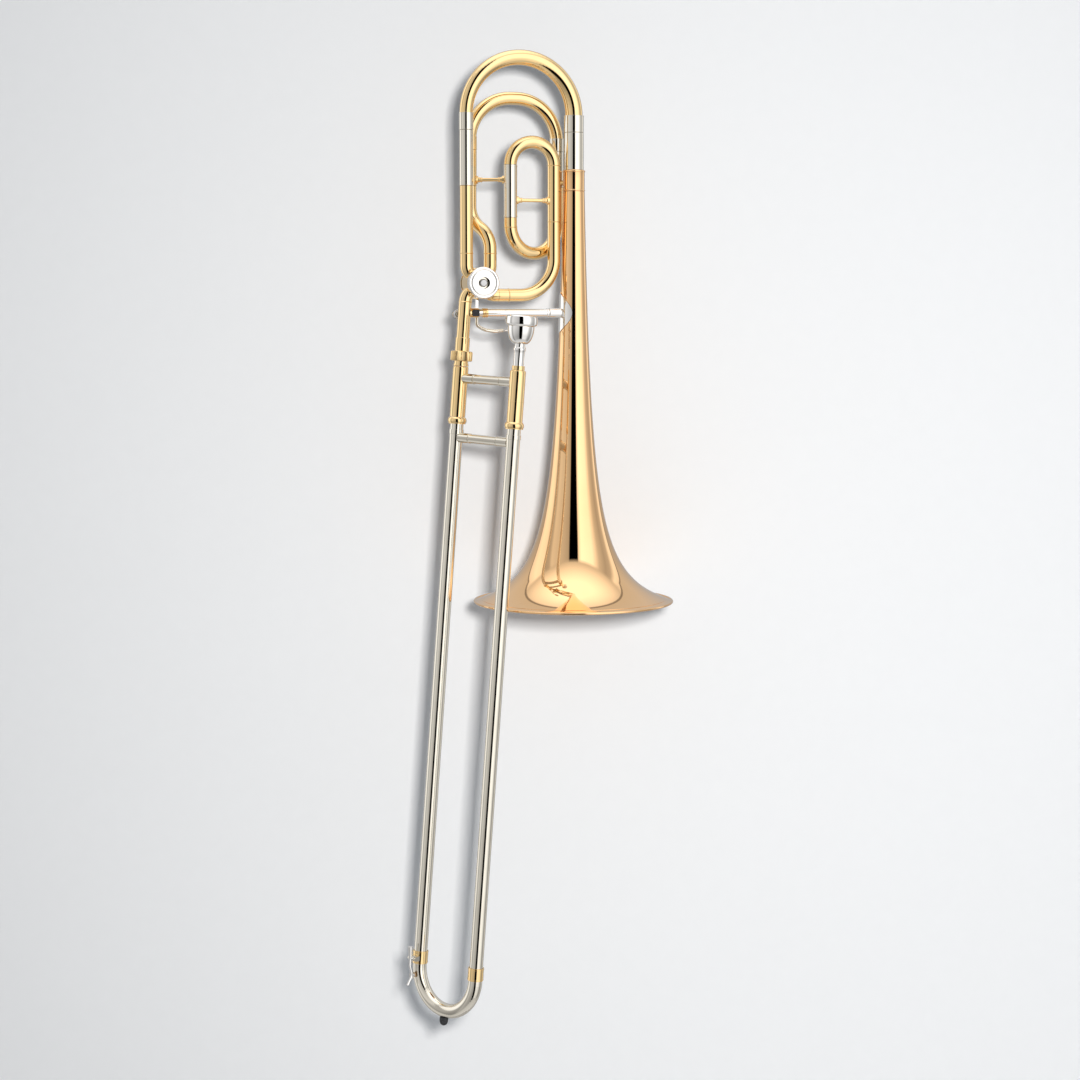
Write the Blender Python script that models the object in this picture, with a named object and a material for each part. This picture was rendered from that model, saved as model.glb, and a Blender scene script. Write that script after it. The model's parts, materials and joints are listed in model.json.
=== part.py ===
"""Bass trombone with one rotary valve, upright with its bell mouth down.

The bell axis is the Z axis. The origin is the seat of a stand's peg, inside the bell's
throat. X runs from the neckpipe to the bell, Y away from the mouthpiece side.
"""
import math

import bmesh
import bpy
from mathutils import Matrix, Quaternion, Vector

MM = 0.001

# Fits and mesh fineness
MERGE_DISTANCE = 0.001 * MM
SAME_PLACE = 0.01 * MM
GAP = 0.3 * MM
TUBE_WALL = 0.6 * MM
EDGE = 1.0 * MM
TUBE_SIDES = 12
MOUTHPIECE_SIDES = 16
MOUTHPIECE_STEPS = 5
VALVE_SIDES = 20
BELL_SIDES = 24
BEND_STEP = 22.5

# Bell
BELL_DIAMETER = 241.3 * MM
SEAT_ABOVE_RIM = 110.0 * MM
BELL_HEIGHT = 490.8 * MM
BELL_WALL = 0.6 * MM
BELL_STATIONS = 12
BEAD_STEPS = 6
FLARE_OFFSET = 30.0 * MM
FLARE_POWER = 0.775
BEAD_RADIUS = 1.6 * MM
TENON_LENGTH = 8.0 * MM

# Main tubing
BORE_TUBE_RADIUS = 7.75 * MM
BELL_TO_NECK = 133.0 * MM
VALVE_ABOVE_RIM = 383.4 * MM
NECKPIPE_START = 34.8 * MM
NECK_SLEEVE_LENGTH = 64.5 * MM
NECK_SLEEVE_RADIUS = 8.2 * MM
SLEEVE_WALL = 0.55 * MM
BELL_SLEEVE_LENGTH = 69.5 * MM
BELL_SLEEVE_RADIUS = 11.7 * MM
BELL_FERRULE_RADIUS = 13.5 * MM
BELL_FERRULE_LENGTH = 25.2 * MM
FERRULE_LENGTH = 20.0 * MM
FERRULE_WALL = 0.4 * MM
CROOK_NECK_RADIUS = 7.8 * MM
CROOK_BELL_RADIUS = 10.55 * MM
TUNING_LEG_LENGTH = 42.0 * MM
SOCKET_DEPTH = 8.0 * MM

# Rotary valve
VALVE_FROM_NECK = 14.5 * MM
CASING_RADIUS = 17.5 * MM
CASING_WALL = 1.5 * MM
CASING_FRONT = 17.2 * MM
CASING_BACK = 16.0 * MM
CASING_END_WALL = 4.0 * MM
CASING_NECK_RADIUS = 16.9 * MM
CASING_NECK_LENGTH = 5.0 * MM
PORT_RADIUS = 5.6 * MM
CHANNEL_RADIUS = 5.2 * MM
CHANNEL_OFFSET = 3.0 * MM
KNUCKLE_BEND = 16.0 * MM
BEARING_PLATE_THICKNESS = 3.5 * MM
BEARING_PLATE_INSET = 2.0 * MM
SPINDLE_RADIUS = 4.6 * MM
STEM_RADIUS = 3.6 * MM
STEM_STAND_OUT = 0.2 * MM
CAP_RADIUS = 18.6 * MM
CAP_THICKNESS = 7.8 * MM
CAP_FACE = 2.2 * MM
CAP_HOLE_RADIUS = 6.9 * MM
CAP_GROOVE_RADIUS = 15.5 * MM
CAP_GROOVE_DEPTH = 0.5 * MM
CAP_GROOVE_WIDTH = 1.0 * MM

# Valve linkage
STOP_ARM_THICKNESS = 3.0 * MM
STOP_ARM_HUB = 6.0 * MM
ROTOR_ARM = 6.5 * MM
ARM_WIDTH = 5.0 * MM
STOP_LUG_REACH = 13.5 * MM
BUMPER_SIZE = 5.0 * MM
ROTOR_TURN = 90.0
LEVER_ARM = 26.5 * MM
LEVER_DROP = 36.6 * MM
LEVER_THICKNESS = 3.0 * MM
LEVER_HUB_RADIUS = 4.2 * MM
LINK_THICKNESS = 3.0 * MM
LINK_WIDTH = 3.2 * MM
EYE_WALL = 1.4 * MM
PIN_RADIUS = 1.0 * MM
OPEN_PIVOT_CLEARANCE = 1.4 * MM
POST_RADIUS = 4.0 * MM
POST_PIN_RADIUS = 2.0 * MM
POST_HEAD_RADIUS = 3.6 * MM
POST_HEAD_THICKNESS = 2.0 * MM
POST_BASE = 2.0 * MM
SPRING_WIRE_RADIUS = 0.45 * MM
SPRING_RADIUS = 5.4 * MM
SPRING_PITCH = 1.6 * MM
SPRING_TURNS = 3
SPRING_CLEARANCE = 1.2 * MM
PADDLE_REACH = 63.0 * MM
PADDLE_DROP = 24.0 * MM
PADDLE_LENGTH = 24.0 * MM
PADDLE_WIDTH = 13.0 * MM
PADDLE_THICKNESS = 1.6 * MM

# Tubing behind the valve, by heights above the valve's centre
F_OUT_DROP = 14.0 * MM
F_OUT_START = 38.0 * MM
F_FRONT_X = 108.0 * MM
F_OUT_BEND = 42.0 * MM
F_LOOP_X = 54.0 * MM
F_LEG_RADIUS = 8.05 * MM
F_LOOP_TOP = 139.2 * MM
F_LEG_BOTTOM = 77.4 * MM
F_BOTTOM_CROOK = 69.4 * MM
F_BACK_X = 118.0 * MM
F_BACK_Y = 20.0 * MM
F_NECK_X = 10.0 * MM
F_SLEEVE_START = 115.0 * MM
F_SLEEVE_TOP = 157.0 * MM
F_FERRULE_LENGTH = 15.4 * MM
F_CROOK_BEND = 46.0 * MM
F_CROOK_TOP = 219.0 * MM
F_LEG_LENGTH = 40.0 * MM
F_SWAN_TOP = 91.0 * MM
F_SWAN_BOTTOM = 40.0 * MM
F_RETURN_X = 29.0 * MM

# Braces
UPPER_STAY_HEIGHT = 122.0 * MM
LOWER_STAY_HEIGHT = 98.0 * MM
BELL_STAY_HEIGHT = 120.0 * MM
STAY_ROD_RADIUS = 2.2 * MM
STAY_SOCKET_RADIUS = 3.2 * MM
STAY_FLANGE_RADIUS = 4.8 * MM
STAY_FLANGE_THICKNESS = 1.2 * MM
STAY_SOCKET_LENGTH = 5.0 * MM
BRACE_DROP = 35.0 * MM
BRACE_THIN_RADIUS = 4.2 * MM
BRACE_THICK_RADIUS = 5.4 * MM
BRACE_RING_RADIUS = 6.4 * MM
BRACE_RING_WIDTH = 3.0 * MM
BRACE_SOCKET_LENGTH = 15.0 * MM
BRACE_NECK_SOCKET_LENGTH = 9.0 * MM
FLANGE_THICKNESS = 1.0 * MM
FLANGE_HEIGHT = 52.0 * MM
FLANGE_HALF_ANGLE = 78.0
BRACE_BUMPER_SIZE = 8.0 * MM
BRACE_BUMPER_THICKNESS = 2.0 * MM

# Hand slide, by distances down the slide's axis from the valve's height
SLIDE_LEAN = 4.25
SLIDE_SWING = 31.7
SLIDE_SPACING = 90.0 * MM
GOOSENECK_START = 22.0 * MM
GOOSENECK_END = 74.0 * MM
RECEIVER_START = 64.0 * MM
RECEIVER_END = 86.0 * MM
RECEIVER_RADIUS = 9.0 * MM
RECEIVER_FLANGE_RADIUS = 10.4 * MM
RECEIVER_FLANGE_THICKNESS = 3.0 * MM
NUT_START = 80.0 * MM
NUT_LENGTH = 12.0 * MM
NUT_RADIUS = 12.8 * MM
NUT_FLUTES = 20
COLLAR_RADIUS = 10.5 * MM
COLLAR_START = 87.0 * MM
BARREL_START = 98.0 * MM
BARREL_LENGTH = 59.5 * MM
BARREL_RADIUS = 9.3 * MM
BARREL_BEAD_RADIUS = 11.3 * MM
BARREL_BEAD_LENGTH = 8.5 * MM
BARREL_CAP = 3.0 * MM
INNER_TUBE_RADIUS = 7.45 * MM
INNER_TUBE_WALL = 0.35 * MM
INNER_TUBE_END = 788.0 * MM
OUTER_TUBE_RADIUS = 8.05 * MM
OUTER_TUBE_WALL = 0.3 * MM
OUTER_TUBE_START = 106.0 * MM
OUTER_TUBE_END = 806.0 * MM
LEADPIPE_RADIUS = 6.8 * MM
LEADPIPE_WALL = 0.4 * MM
LEADPIPE_LENGTH = 190.0 * MM
MOUTH_RECEIVER_START = 92.7 * MM
MOUTH_RECEIVER_RADIUS = 7.5 * MM
INNER_BRACE_AT = 112.0 * MM
OUTER_BRACE_AT = 182.0 * MM
SLIDE_BRACE_RADIUS = 4.3 * MM
SLIDE_SOCKET_RADIUS = 5.4 * MM
SLIDE_SOCKET_LENGTH = 16.0 * MM
CROOK_FERRULE_START = 798.0 * MM
CROOK_FERRULE_LENGTH = 15.0 * MM
CROOK_FERRULE_WALL = 0.6 * MM
SLIDE_CROOK_WALL = 0.7 * MM
SLIDE_CROOK_AT = 815.0 * MM
SLIDE_CROOK_RADIUS = 8.4 * MM
SLIDE_BUMPER_RADIUS = 4.85 * MM
SLIDE_BUMPER_LENGTH = 10.0 * MM

# Mouthpiece
MOUTHPIECE_TOP = 35.0 * MM
RIM_RADIUS = 18.6 * MM
RIM_BAND = 12.0 * MM
RIM_WALL = 2.4 * MM
RIM_ROUND = 0.7 * MM
RIM_SHOULDER = 3.1 * MM
RIM_LIP = 1.2 * MM
RIM_BITE = 0.5 * MM
CUP_RADIUS = 14.0 * MM
CUP_DEPTH = 29.0 * MM
CUP_OUTER_LENGTH = 32.7 * MM
THROAT_LENGTH = 6.0 * MM
THROAT_RADIUS = 3.7 * MM
WAIST_RADIUS = 5.8 * MM
WAIST_LENGTH = 4.8 * MM
SHANK_RADIUS = 6.0 * MM
SHANK_COLLAR_RADIUS = 7.3 * MM
SHANK_COLLAR_LENGTH = 3.0 * MM
SHANK_STEP = 0.2 * MM
SHANK_END_RADIUS = 5.6 * MM
SHANK_DEPTH = 24.0 * MM
BACKBORE_RADIUS = 4.9 * MM

# Water key
KEY_HINGE_AT = 806.0 * MM
KEY_CUP_AT = 826.0 * MM
KEY_TOUCH_AT = 791.0 * MM
KEY_HINGE_HEIGHT = 14.0 * MM
KEY_ROD_RADIUS = 1.5 * MM
KEY_HUB_RADIUS = 2.6 * MM
KEY_HUB_LENGTH = 7.0 * MM
KEY_PIN_RADIUS = 1.2 * MM
KEY_POST_WIDTH = 2.0 * MM
KEY_CUP_RADIUS = 4.0 * MM
KEY_CUP_THICKNESS = 2.0 * MM
KEY_ROD_BEND = 6.0 * MM
KEY_TAIL = 11.0 * MM
KEY_TAIL_RISE = 8.0 * MM
KEY_SHOULDER = 8.0 * MM
SADDLE_FOOT = 6.0 * MM
SADDLE_SINK = 2.0 * MM
SADDLE_CAP = 2.4 * MM
SADDLE_FLOOR = 1.4 * MM
NIPPLE_RADIUS = 3.2 * MM
NIPPLE_BORE = 2.2 * MM
NIPPLE_HEIGHT = 1.6 * MM
KEY_CORK_THICKNESS = 2.4 * MM

# Colour, roughness and metallic value of each finish
FINISHES = {
    "yellow_brass": ((0.80, 0.60, 0.30), 0.18, 1.0),
    "gold_brass": ((0.78, 0.52, 0.28), 0.18, 1.0),
    "nickel_silver": ((0.78, 0.75, 0.68), 0.22, 1.0),
    "silver_plate": ((0.90, 0.89, 0.86), 0.12, 1.0),
    "steel": ((0.62, 0.62, 0.62), 0.3, 1.0),
    "black_rubber": ((0.03, 0.03, 0.03), 0.7, 0.0),
    "cork": ((0.55, 0.38, 0.22), 0.85, 0.0),
}

X = Vector((1, 0, 0))
Y = Vector((0, 1, 0))
Z = Vector((0, 0, 1))


# Frames

def frame(origin, z_axis, x_axis):
    """Matrix of a frame at origin, with its Z along z_axis and its X towards x_axis."""
    along = z_axis.normalized()
    across = (x_axis - along * x_axis.dot(along)).normalized()
    matrix = Matrix((across, along.cross(across), along)).transposed().to_4x4()
    matrix.translation = origin
    return matrix


RIM_HEIGHT = -SEAT_ABOVE_RIM
VALVE_HEIGHT = RIM_HEIGHT + VALVE_ABOVE_RIM
NECK = Vector((-BELL_TO_NECK, 0, VALVE_HEIGHT))
VALVE = NECK + X * VALVE_FROM_NECK
BELL_TOP = RIM_HEIGHT + BEAD_RADIUS + BELL_HEIGHT
SLEEVE_TOP = BELL_TOP - VALVE_HEIGHT + BELL_SLEEVE_LENGTH
NECK_SLEEVE_START = SLEEVE_TOP - NECK_SLEEVE_LENGTH

LEAN = math.radians(SLIDE_LEAN)
SWING = math.radians(SLIDE_SWING)
SLIDE_AXIS = Vector((-math.sin(LEAN), 0, -math.cos(LEAN)))
SLIDE_SIDE = Vector((math.cos(LEAN), 0, -math.sin(LEAN)))
SLIDE_ACROSS = SLIDE_SIDE * math.sin(SWING) - Y * math.cos(SWING)

WORLD = Matrix.Identity(4)
VALVE_FRAME = frame(VALVE, Y, X)
GOOSENECK_FRAME = frame(NECK, SLIDE_AXIS, SLIDE_SIDE)
SLIDE_FRAME = frame(NECK, SLIDE_AXIS, SLIDE_ACROSS)
MOUTH_FRAME = frame(NECK + SLIDE_ACROSS * SLIDE_SPACING, SLIDE_AXIS, SLIDE_ACROSS)
TUNING_FRAME = frame(NECK, Z, X)
F_SLIDE_FRAME = frame(NECK + X * F_NECK_X + Y * F_BACK_Y, Z, X)


def at(x, y, z):
    """Place x from the neckpipe's axis, y back and z above the valve's centre."""
    return NECK + Vector((x, y, z))


# Materials and objects

def finish(name):
    """The material of one finish, made once."""
    if name in bpy.data.materials:
        return bpy.data.materials[name]
    colour, roughness, metallic = FINISHES[name]
    material = bpy.data.materials.new(name)
    material.use_nodes = True
    shader = material.node_tree.nodes["Principled BSDF"]
    shader.inputs["Base Color"].default_value = (*colour, 1.0)
    shader.inputs["Roughness"].default_value = roughness
    shader.inputs["Metallic"].default_value = metallic
    material.diffuse_color = (*colour, 1.0)
    return material


def add_object(name, shape, matrix, finish_name):
    """Turn a bmesh into a named object standing in the given frame."""
    bmesh.ops.remove_doubles(shape, verts=shape.verts, dist=MERGE_DISTANCE)
    bmesh.ops.recalc_face_normals(shape, faces=shape.faces)
    mesh = bpy.data.meshes.new(name)
    shape.to_mesh(mesh)
    shape.free()
    mesh.shade_smooth()
    mesh.set_sharp_from_angle(angle=math.radians(35))
    if finish_name:
        mesh.materials.append(finish(finish_name))
    item = bpy.data.objects.new(name, mesh)
    bpy.context.collection.objects.link(item)
    item.matrix_world = matrix
    return item


def combine(item, tool, operation):
    """Cut a tool from an item, or join it to the item."""
    tool.name = "tool_" + tool.name
    tool.hide_render = True
    tool.display_type = "WIRE"
    modifier = item.modifiers.new(tool.name, "BOOLEAN")
    modifier.operation = operation
    modifier.solver = "EXACT"
    modifier.object = tool
    return item


def cut(item, tool):
    """Remove the tool's shape from the item."""
    return combine(item, tool, "DIFFERENCE")


def join(item, tool):
    """Make the tool's shape part of the item."""
    return combine(item, tool, "UNION")


# Shapes

def turned(name, profile, matrix, finish_name, sides=TUBE_SIDES):
    """Closed body turned about the frame's Z from (radius, height) points."""
    shape = bmesh.new()
    points = [shape.verts.new((radius, 0, height)) for radius, height in profile]
    edges = [
        shape.edges.new(pair) for pair in zip(points, points[1:] + points[:1])
        if pair[0].co.x > 0 or pair[1].co.x > 0]
    bmesh.ops.spin(
        shape, geom=points + edges, cent=(0, 0, 0), axis=(0, 0, 1),
        angle=math.tau, steps=sides, use_merge=True)
    return add_object(name, shape, matrix, finish_name)


def rod_profile(spans):
    """Profile of a solid rod from (radius, length) spans laid end to end from height 0."""
    profile = [(0, 0)]
    height = 0
    for radius, length in spans:
        profile.append((radius, height))
        height += length
        profile.append((radius, height))
    profile.append((0, height))
    return profile


def ring_profile(low, high, outer, inner):
    """Profile of a plain ring between two heights."""
    return [(outer, low), (outer, high), (inner, high), (inner, low)]


def rounded_route(corners, bends):
    """Points and headings along straight runs between corners that are rounded by arcs."""
    stations = [(corners[0], (corners[1] - corners[0]).normalized())]
    for before, corner, after, radius in zip(corners, corners[1:], corners[2:], bends):
        arrive = (corner - before).normalized()
        leave = (after - corner).normalized()
        turn = arrive.angle(leave)
        reach = radius * math.tan(turn / 2)
        start = corner - arrive * reach
        axis = arrive.cross(leave).normalized()
        centre = start + axis.cross(arrive) * radius
        steps = max(2, round(math.degrees(turn) / BEND_STEP))
        for step in range(steps + 1):
            spin = Quaternion(axis, turn * step / steps)
            place = centre + spin @ (start - centre)
            if (place - stations[-1][0]).length > SAME_PLACE:
                stations.append((place, spin @ arrive))
    if (corners[-1] - stations[-1][0]).length > SAME_PLACE:
        stations.append((corners[-1], (corners[-1] - corners[-2]).normalized()))
    return stations


def join_rings(shape, ring, next_ring):
    """Faces between two rings with the same number of points."""
    for spot in range(len(ring)):
        after = (spot + 1) % len(ring)
        shape.faces.new((ring[spot], ring[after], next_ring[after], next_ring[spot]))


def add_wall(shape, stations, radii, side_axis, sides):
    """Sweep a circle through the stations. Returns its first and last rings of points."""
    heading = stations[0][1]
    if abs(heading.dot(side_axis)) > 0.9:
        side_axis = X
    across = (side_axis - heading * side_axis.dot(heading)).normalized()
    rings = []
    for (place, next_heading), radius in zip(stations, radii):
        across = heading.rotation_difference(next_heading) @ across
        heading = next_heading
        beside = heading.cross(across)
        angles = [math.tau * spot / sides for spot in range(sides)]
        rings.append([
            shape.verts.new(place + (across * math.cos(angle) + beside * math.sin(angle)) * radius)
            for angle in angles])
    for ring, next_ring in zip(rings, rings[1:]):
        join_rings(shape, ring, next_ring)
    return rings[0], rings[-1]


def spread(stations, ends):
    """Radius at each station, running evenly from the first end's radius to the last's."""
    reach = [0.0]
    for (place, _), (next_place, _) in zip(stations, stations[1:]):
        reach.append(reach[-1] + (next_place - place).length)
    return [ends[0] + (ends[1] - ends[0]) * length / reach[-1] for length in reach]


def pipe(name, corners, bends, radius, matrix, finish_name, wall=TUBE_WALL, sides=TUBE_SIDES,
         side_axis=Y):
    """Tube through rounded corners. The radius is one value, or the two of a taper."""
    ends = radius if isinstance(radius, tuple) else (radius, radius)
    stations = rounded_route(corners, bends)
    shape = bmesh.new()
    outer = add_wall(shape, stations, spread(stations, ends), side_axis, sides)
    if wall:
        bore = (ends[0] - wall, ends[1] - wall)
        inner = add_wall(shape, stations, spread(stations, bore), side_axis, sides)
        for outside, inside in zip(outer, inner):
            join_rings(shape, outside, inside)
    else:
        for ring in outer:
            shape.faces.new(ring)
    return add_object(name, shape, matrix, finish_name)


def bar(name, start, end, radius, matrix=WORLD, sides=TUBE_SIDES, side_axis=Y, finish_name=None):
    """Straight round bar, used as a pin or to cut a round seat."""
    return pipe(name, [start, end], [], radius, matrix, finish_name, 0, sides, side_axis)


def plate(name, outline, low, high, matrix, finish_name):
    """Flat plate with the (x, y) outline, between two heights of the frame."""
    shape = bmesh.new()
    face = shape.faces.new([shape.verts.new((x, y, low)) for x, y in outline])
    grown = bmesh.ops.extrude_face_region(shape, geom=[face])["geom"]
    verts = [piece for piece in grown if isinstance(piece, bmesh.types.BMVert)]
    bmesh.ops.translate(shape, vec=(0, 0, high - low), verts=verts)
    return add_object(name, shape, matrix, finish_name)


def arc_points(centre, radius, start, end, steps):
    """Points of an arc in degrees, both ends included."""
    angles = [math.radians(start + (end - start) * step / steps) for step in range(steps + 1)]
    return [
        (centre[0] + radius * math.cos(angle), centre[1] + radius * math.sin(angle))
        for angle in angles]


# Bell section

def flare_radius(height):
    """Outer radius of the bell at a height above its rim bead's centre."""
    edge = BELL_DIAMETER / 2 - BEAD_RADIUS
    return edge * (FLARE_OFFSET / (height + FLARE_OFFSET)) ** FLARE_POWER


def flare_slope(height):
    """Change of the flare's radius with height."""
    return -FLARE_POWER * flare_radius(height) / (height + FLARE_OFFSET)


def bell_profile():
    """Outer side from the tail to the rim, the bead, and the inner side back."""
    growth = 1 + BELL_HEIGHT / FLARE_OFFSET
    heights = [
        FLARE_OFFSET * (growth ** (station / BELL_STATIONS) - 1)
        for station in range(BELL_STATIONS, 0, -1)]
    centre_radius = BELL_DIAMETER / 2 - BEAD_RADIUS
    lowest = RIM_HEIGHT + BEAD_RADIUS
    outside = [(flare_radius(height), lowest + height) for height in heights]
    inside = []
    for height in heights:
        slope = flare_slope(height)
        length = math.hypot(1, slope)
        inside.append((
            flare_radius(height) - BELL_WALL / length,
            lowest + height + BELL_WALL * slope / length))
    bead = arc_points((centre_radius, lowest), BEAD_RADIUS, 150, -150, BEAD_STEPS)
    tenon = BELL_SLEEVE_RADIUS
    top = BELL_TOP + TENON_LENGTH
    throat = tenon - BELL_WALL
    return (
        [(tenon, top), (tenon, BELL_TOP)] + outside + bead + inside[::-1]
        + [(throat, BELL_TOP - BELL_WALL), (throat, top)])


def build_bell():
    turned("bell", bell_profile(), WORLD, "gold_brass", BELL_SIDES)
    low = BELL_TOP + GAP
    high = VALVE_HEIGHT + SLEEVE_TOP
    bore = BELL_SLEEVE_RADIUS - SLEEVE_WALL
    shoulder = low + BELL_FERRULE_LENGTH
    seat = BELL_TOP + TENON_LENGTH + GAP
    turned(
        "bell_side_sleeve",
        [(BELL_FERRULE_RADIUS, low), (BELL_FERRULE_RADIUS, shoulder),
         (BELL_SLEEVE_RADIUS, shoulder), (BELL_SLEEVE_RADIUS, high), (bore, high), (bore, seat),
         (BELL_SLEEVE_RADIUS + GAP, seat), (BELL_SLEEVE_RADIUS + GAP, low)],
        WORLD, "nickel_silver", BELL_SIDES)


def build_neckpipe():
    pipe(
        "neckpipe", [at(0, 0, NECKPIPE_START + GAP), at(0, 0, NECK_SLEEVE_START - GAP)], [],
        BORE_TUBE_RADIUS, WORLD, "yellow_brass")
    pipe(
        "neck_side_sleeve", [at(0, 0, NECK_SLEEVE_START), at(0, 0, SLEEVE_TOP)], [],
        NECK_SLEEVE_RADIUS, WORLD, "nickel_silver", SLEEVE_WALL)


def slide_leg(name, matrix, crook_radius, sleeve_radius, top, ferrule, length, sides):
    """Inner leg of a tuning slide with the ferrule that holds the crook's end."""
    leg = sleeve_radius - SLEEVE_WALL - GAP
    bore = leg - SLEEVE_WALL
    socket = crook_radius + 2 * GAP
    outer = max(socket + FERRULE_WALL, sleeve_radius)
    low = top + GAP
    high = low + ferrule
    seat = high - SOCKET_DEPTH
    turned(
        name,
        [(leg, low - length), (leg, low), (outer, low), (outer, high), (socket, high),
         (socket, seat), (bore, seat), (bore, low - length)],
        matrix, "nickel_silver", sides)


def build_tuning_slide():
    crook_low = SLEEVE_TOP + FERRULE_LENGTH - SOCKET_DEPTH + 2 * GAP
    bend = BELL_TO_NECK / 2
    top = SLEEVE_TOP + FERRULE_LENGTH + bend
    corners = [
        Vector((0, 0, crook_low)), Vector((0, 0, top)),
        Vector((BELL_TO_NECK, 0, top)), Vector((BELL_TO_NECK, 0, crook_low))]
    pipe(
        "tuning_crook", corners, [bend, bend], (CROOK_NECK_RADIUS, CROOK_BELL_RADIUS),
        TUNING_FRAME, "yellow_brass")
    slide_leg(
        "tuning_leg_neck", TUNING_FRAME, CROOK_NECK_RADIUS, NECK_SLEEVE_RADIUS, SLEEVE_TOP,
        FERRULE_LENGTH, TUNING_LEG_LENGTH, TUBE_SIDES)
    slide_leg(
        "tuning_leg_bell", TUNING_FRAME @ Matrix.Translation(X * BELL_TO_NECK),
        CROOK_BELL_RADIUS, BELL_SLEEVE_RADIUS, SLEEVE_TOP, FERRULE_LENGTH, TUNING_LEG_LENGTH,
        BELL_SIDES)


# Rotary valve

def valve_bar(name, degrees, radius, start=0.0, sides=TUBE_SIDES):
    """Bar that runs out from the valve's axis at an angle in the bell's plane."""
    angle = math.radians(degrees)
    ray = X * math.cos(angle) + Z * math.sin(angle)
    return bar(name, VALVE + ray * start, VALVE + ray * CASING_RADIUS * 1.4, radius, sides=sides)


def build_casing():
    chamber = CASING_RADIUS - CASING_WALL
    stem_hole = STEM_RADIUS + GAP
    profile = [
        (CASING_NECK_RADIUS, -CASING_FRONT - CASING_NECK_LENGTH),
        (CASING_NECK_RADIUS, -CASING_FRONT), (CASING_RADIUS, -CASING_FRONT),
        (CASING_RADIUS, CASING_BACK), (stem_hole, CASING_BACK),
        (stem_hole, CASING_BACK - CASING_END_WALL), (chamber, CASING_BACK - CASING_END_WALL),
        (chamber, -CASING_FRONT - CASING_NECK_LENGTH)]
    casing = turned("valve_casing", profile, VALVE_FRAME, "yellow_brass", VALVE_SIDES)
    for name, degrees in (("neck", 135), ("gooseneck", 225), ("f_out", 315), ("f_return", 45)):
        cut(casing, valve_bar("port_" + name, degrees, PORT_RADIUS, CASING_RADIUS / 2))


def build_rotor():
    chamber = CASING_RADIUS - CASING_WALL
    radius = chamber - GAP
    plate_back = -CASING_FRONT - CASING_NECK_LENGTH + BEARING_PLATE_THICKNESS + BEARING_PLATE_INSET
    low = plate_back + GAP
    high = CASING_BACK - CASING_END_WALL - GAP
    spindle_end = -CASING_FRONT - CAP_THICKNESS + EDGE
    stem_end = arm_back() + STEM_STAND_OUT
    rotor = turned(
        "rotor",
        [(0, spindle_end), (SPINDLE_RADIUS - EDGE, spindle_end),
         (SPINDLE_RADIUS, spindle_end + EDGE), (SPINDLE_RADIUS, low), (radius, low),
         (radius, high), (STEM_RADIUS, high), (STEM_RADIUS, stem_end), (0, stem_end)],
        VALVE_FRAME, "steel", VALVE_SIDES)
    for side, name in ((-1, "neck_side"), (1, "f_side")):
        corners = [
            VALVE + (X * side + Z) * radius, VALVE + X * side * CHANNEL_OFFSET,
            VALVE + (X * side - Z) * radius]
        cut(rotor, pipe(
            "channel_" + name, corners, [radius * 0.8], CHANNEL_RADIUS, WORLD, None, 0, 8))
    turned(
        "bearing_plate",
        ring_profile(plate_back - BEARING_PLATE_THICKNESS, plate_back, radius,
                     SPINDLE_RADIUS + GAP),
        VALVE_FRAME, "nickel_silver", VALVE_SIDES)


def build_valve_cap():
    low = -CASING_FRONT - GAP
    face = low - CAP_THICKNESS
    bore = CASING_NECK_RADIUS + GAP
    groove = CAP_GROOVE_RADIUS
    turned(
        "valve_cap",
        [(CAP_RADIUS, low), (bore, low), (bore, face + CAP_FACE), (CAP_HOLE_RADIUS, face + CAP_FACE),
         (CAP_HOLE_RADIUS, face), (groove - CAP_GROOVE_WIDTH, face),
         (groove - CAP_GROOVE_WIDTH / 2, face + CAP_GROOVE_DEPTH), (groove, face),
         (CAP_RADIUS - EDGE, face), (CAP_RADIUS, face + EDGE)],
        VALVE_FRAME, "silver_plate", VALVE_SIDES)


def knuckle(name, end, corner, port_degrees):
    """Elbow from a tube's end to its port, seated on the round casing."""
    angle = math.radians(port_degrees)
    port = VALVE + (X * math.cos(angle) + Z * math.sin(angle)) * CASING_RADIUS * 0.6
    item = pipe(
        name, [end, corner, port], [KNUCKLE_BEND], BORE_TUBE_RADIUS, WORLD, "yellow_brass")
    seat = bar(
        name + "_seat", VALVE - Y * CASING_RADIUS * 2, VALVE + Y * CASING_RADIUS * 2,
        CASING_RADIUS + GAP, sides=VALVE_SIDES, side_axis=X)
    return cut(item, seat)


def build_knuckles():
    rise = VALVE_FROM_NECK
    knuckle("knuckle_neck", at(0, 0, NECKPIPE_START), at(0, 0, rise), 135)
    knuckle(
        "knuckle_f_return", at(F_RETURN_X, 0, NECKPIPE_START),
        at(F_RETURN_X, 0, F_RETURN_X - VALVE_FROM_NECK), 45)
    knuckle(
        "knuckle_f_out", at(F_OUT_START, 0, -F_OUT_DROP),
        at(VALVE_FROM_NECK + F_OUT_DROP, 0, -F_OUT_DROP), 315)
    meet = VALVE_FROM_NECK / (math.cos(LEAN) - math.sin(LEAN))
    knuckle("knuckle_gooseneck", NECK + SLIDE_AXIS * GOOSENECK_START, NECK + SLIDE_AXIS * meet, 225)


# Linkage

def arm_front():
    """Distance from the valve's centre to the near side of the stop arm."""
    return CASING_BACK + BUMPER_SIZE / 2


def arm_back():
    """Distance from the valve's centre to the far side of the stop arm."""
    return arm_front() + STOP_ARM_THICKNESS


def link_front():
    """Distance from the valve's centre to the near side of the link."""
    return arm_back() + GAP


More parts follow.
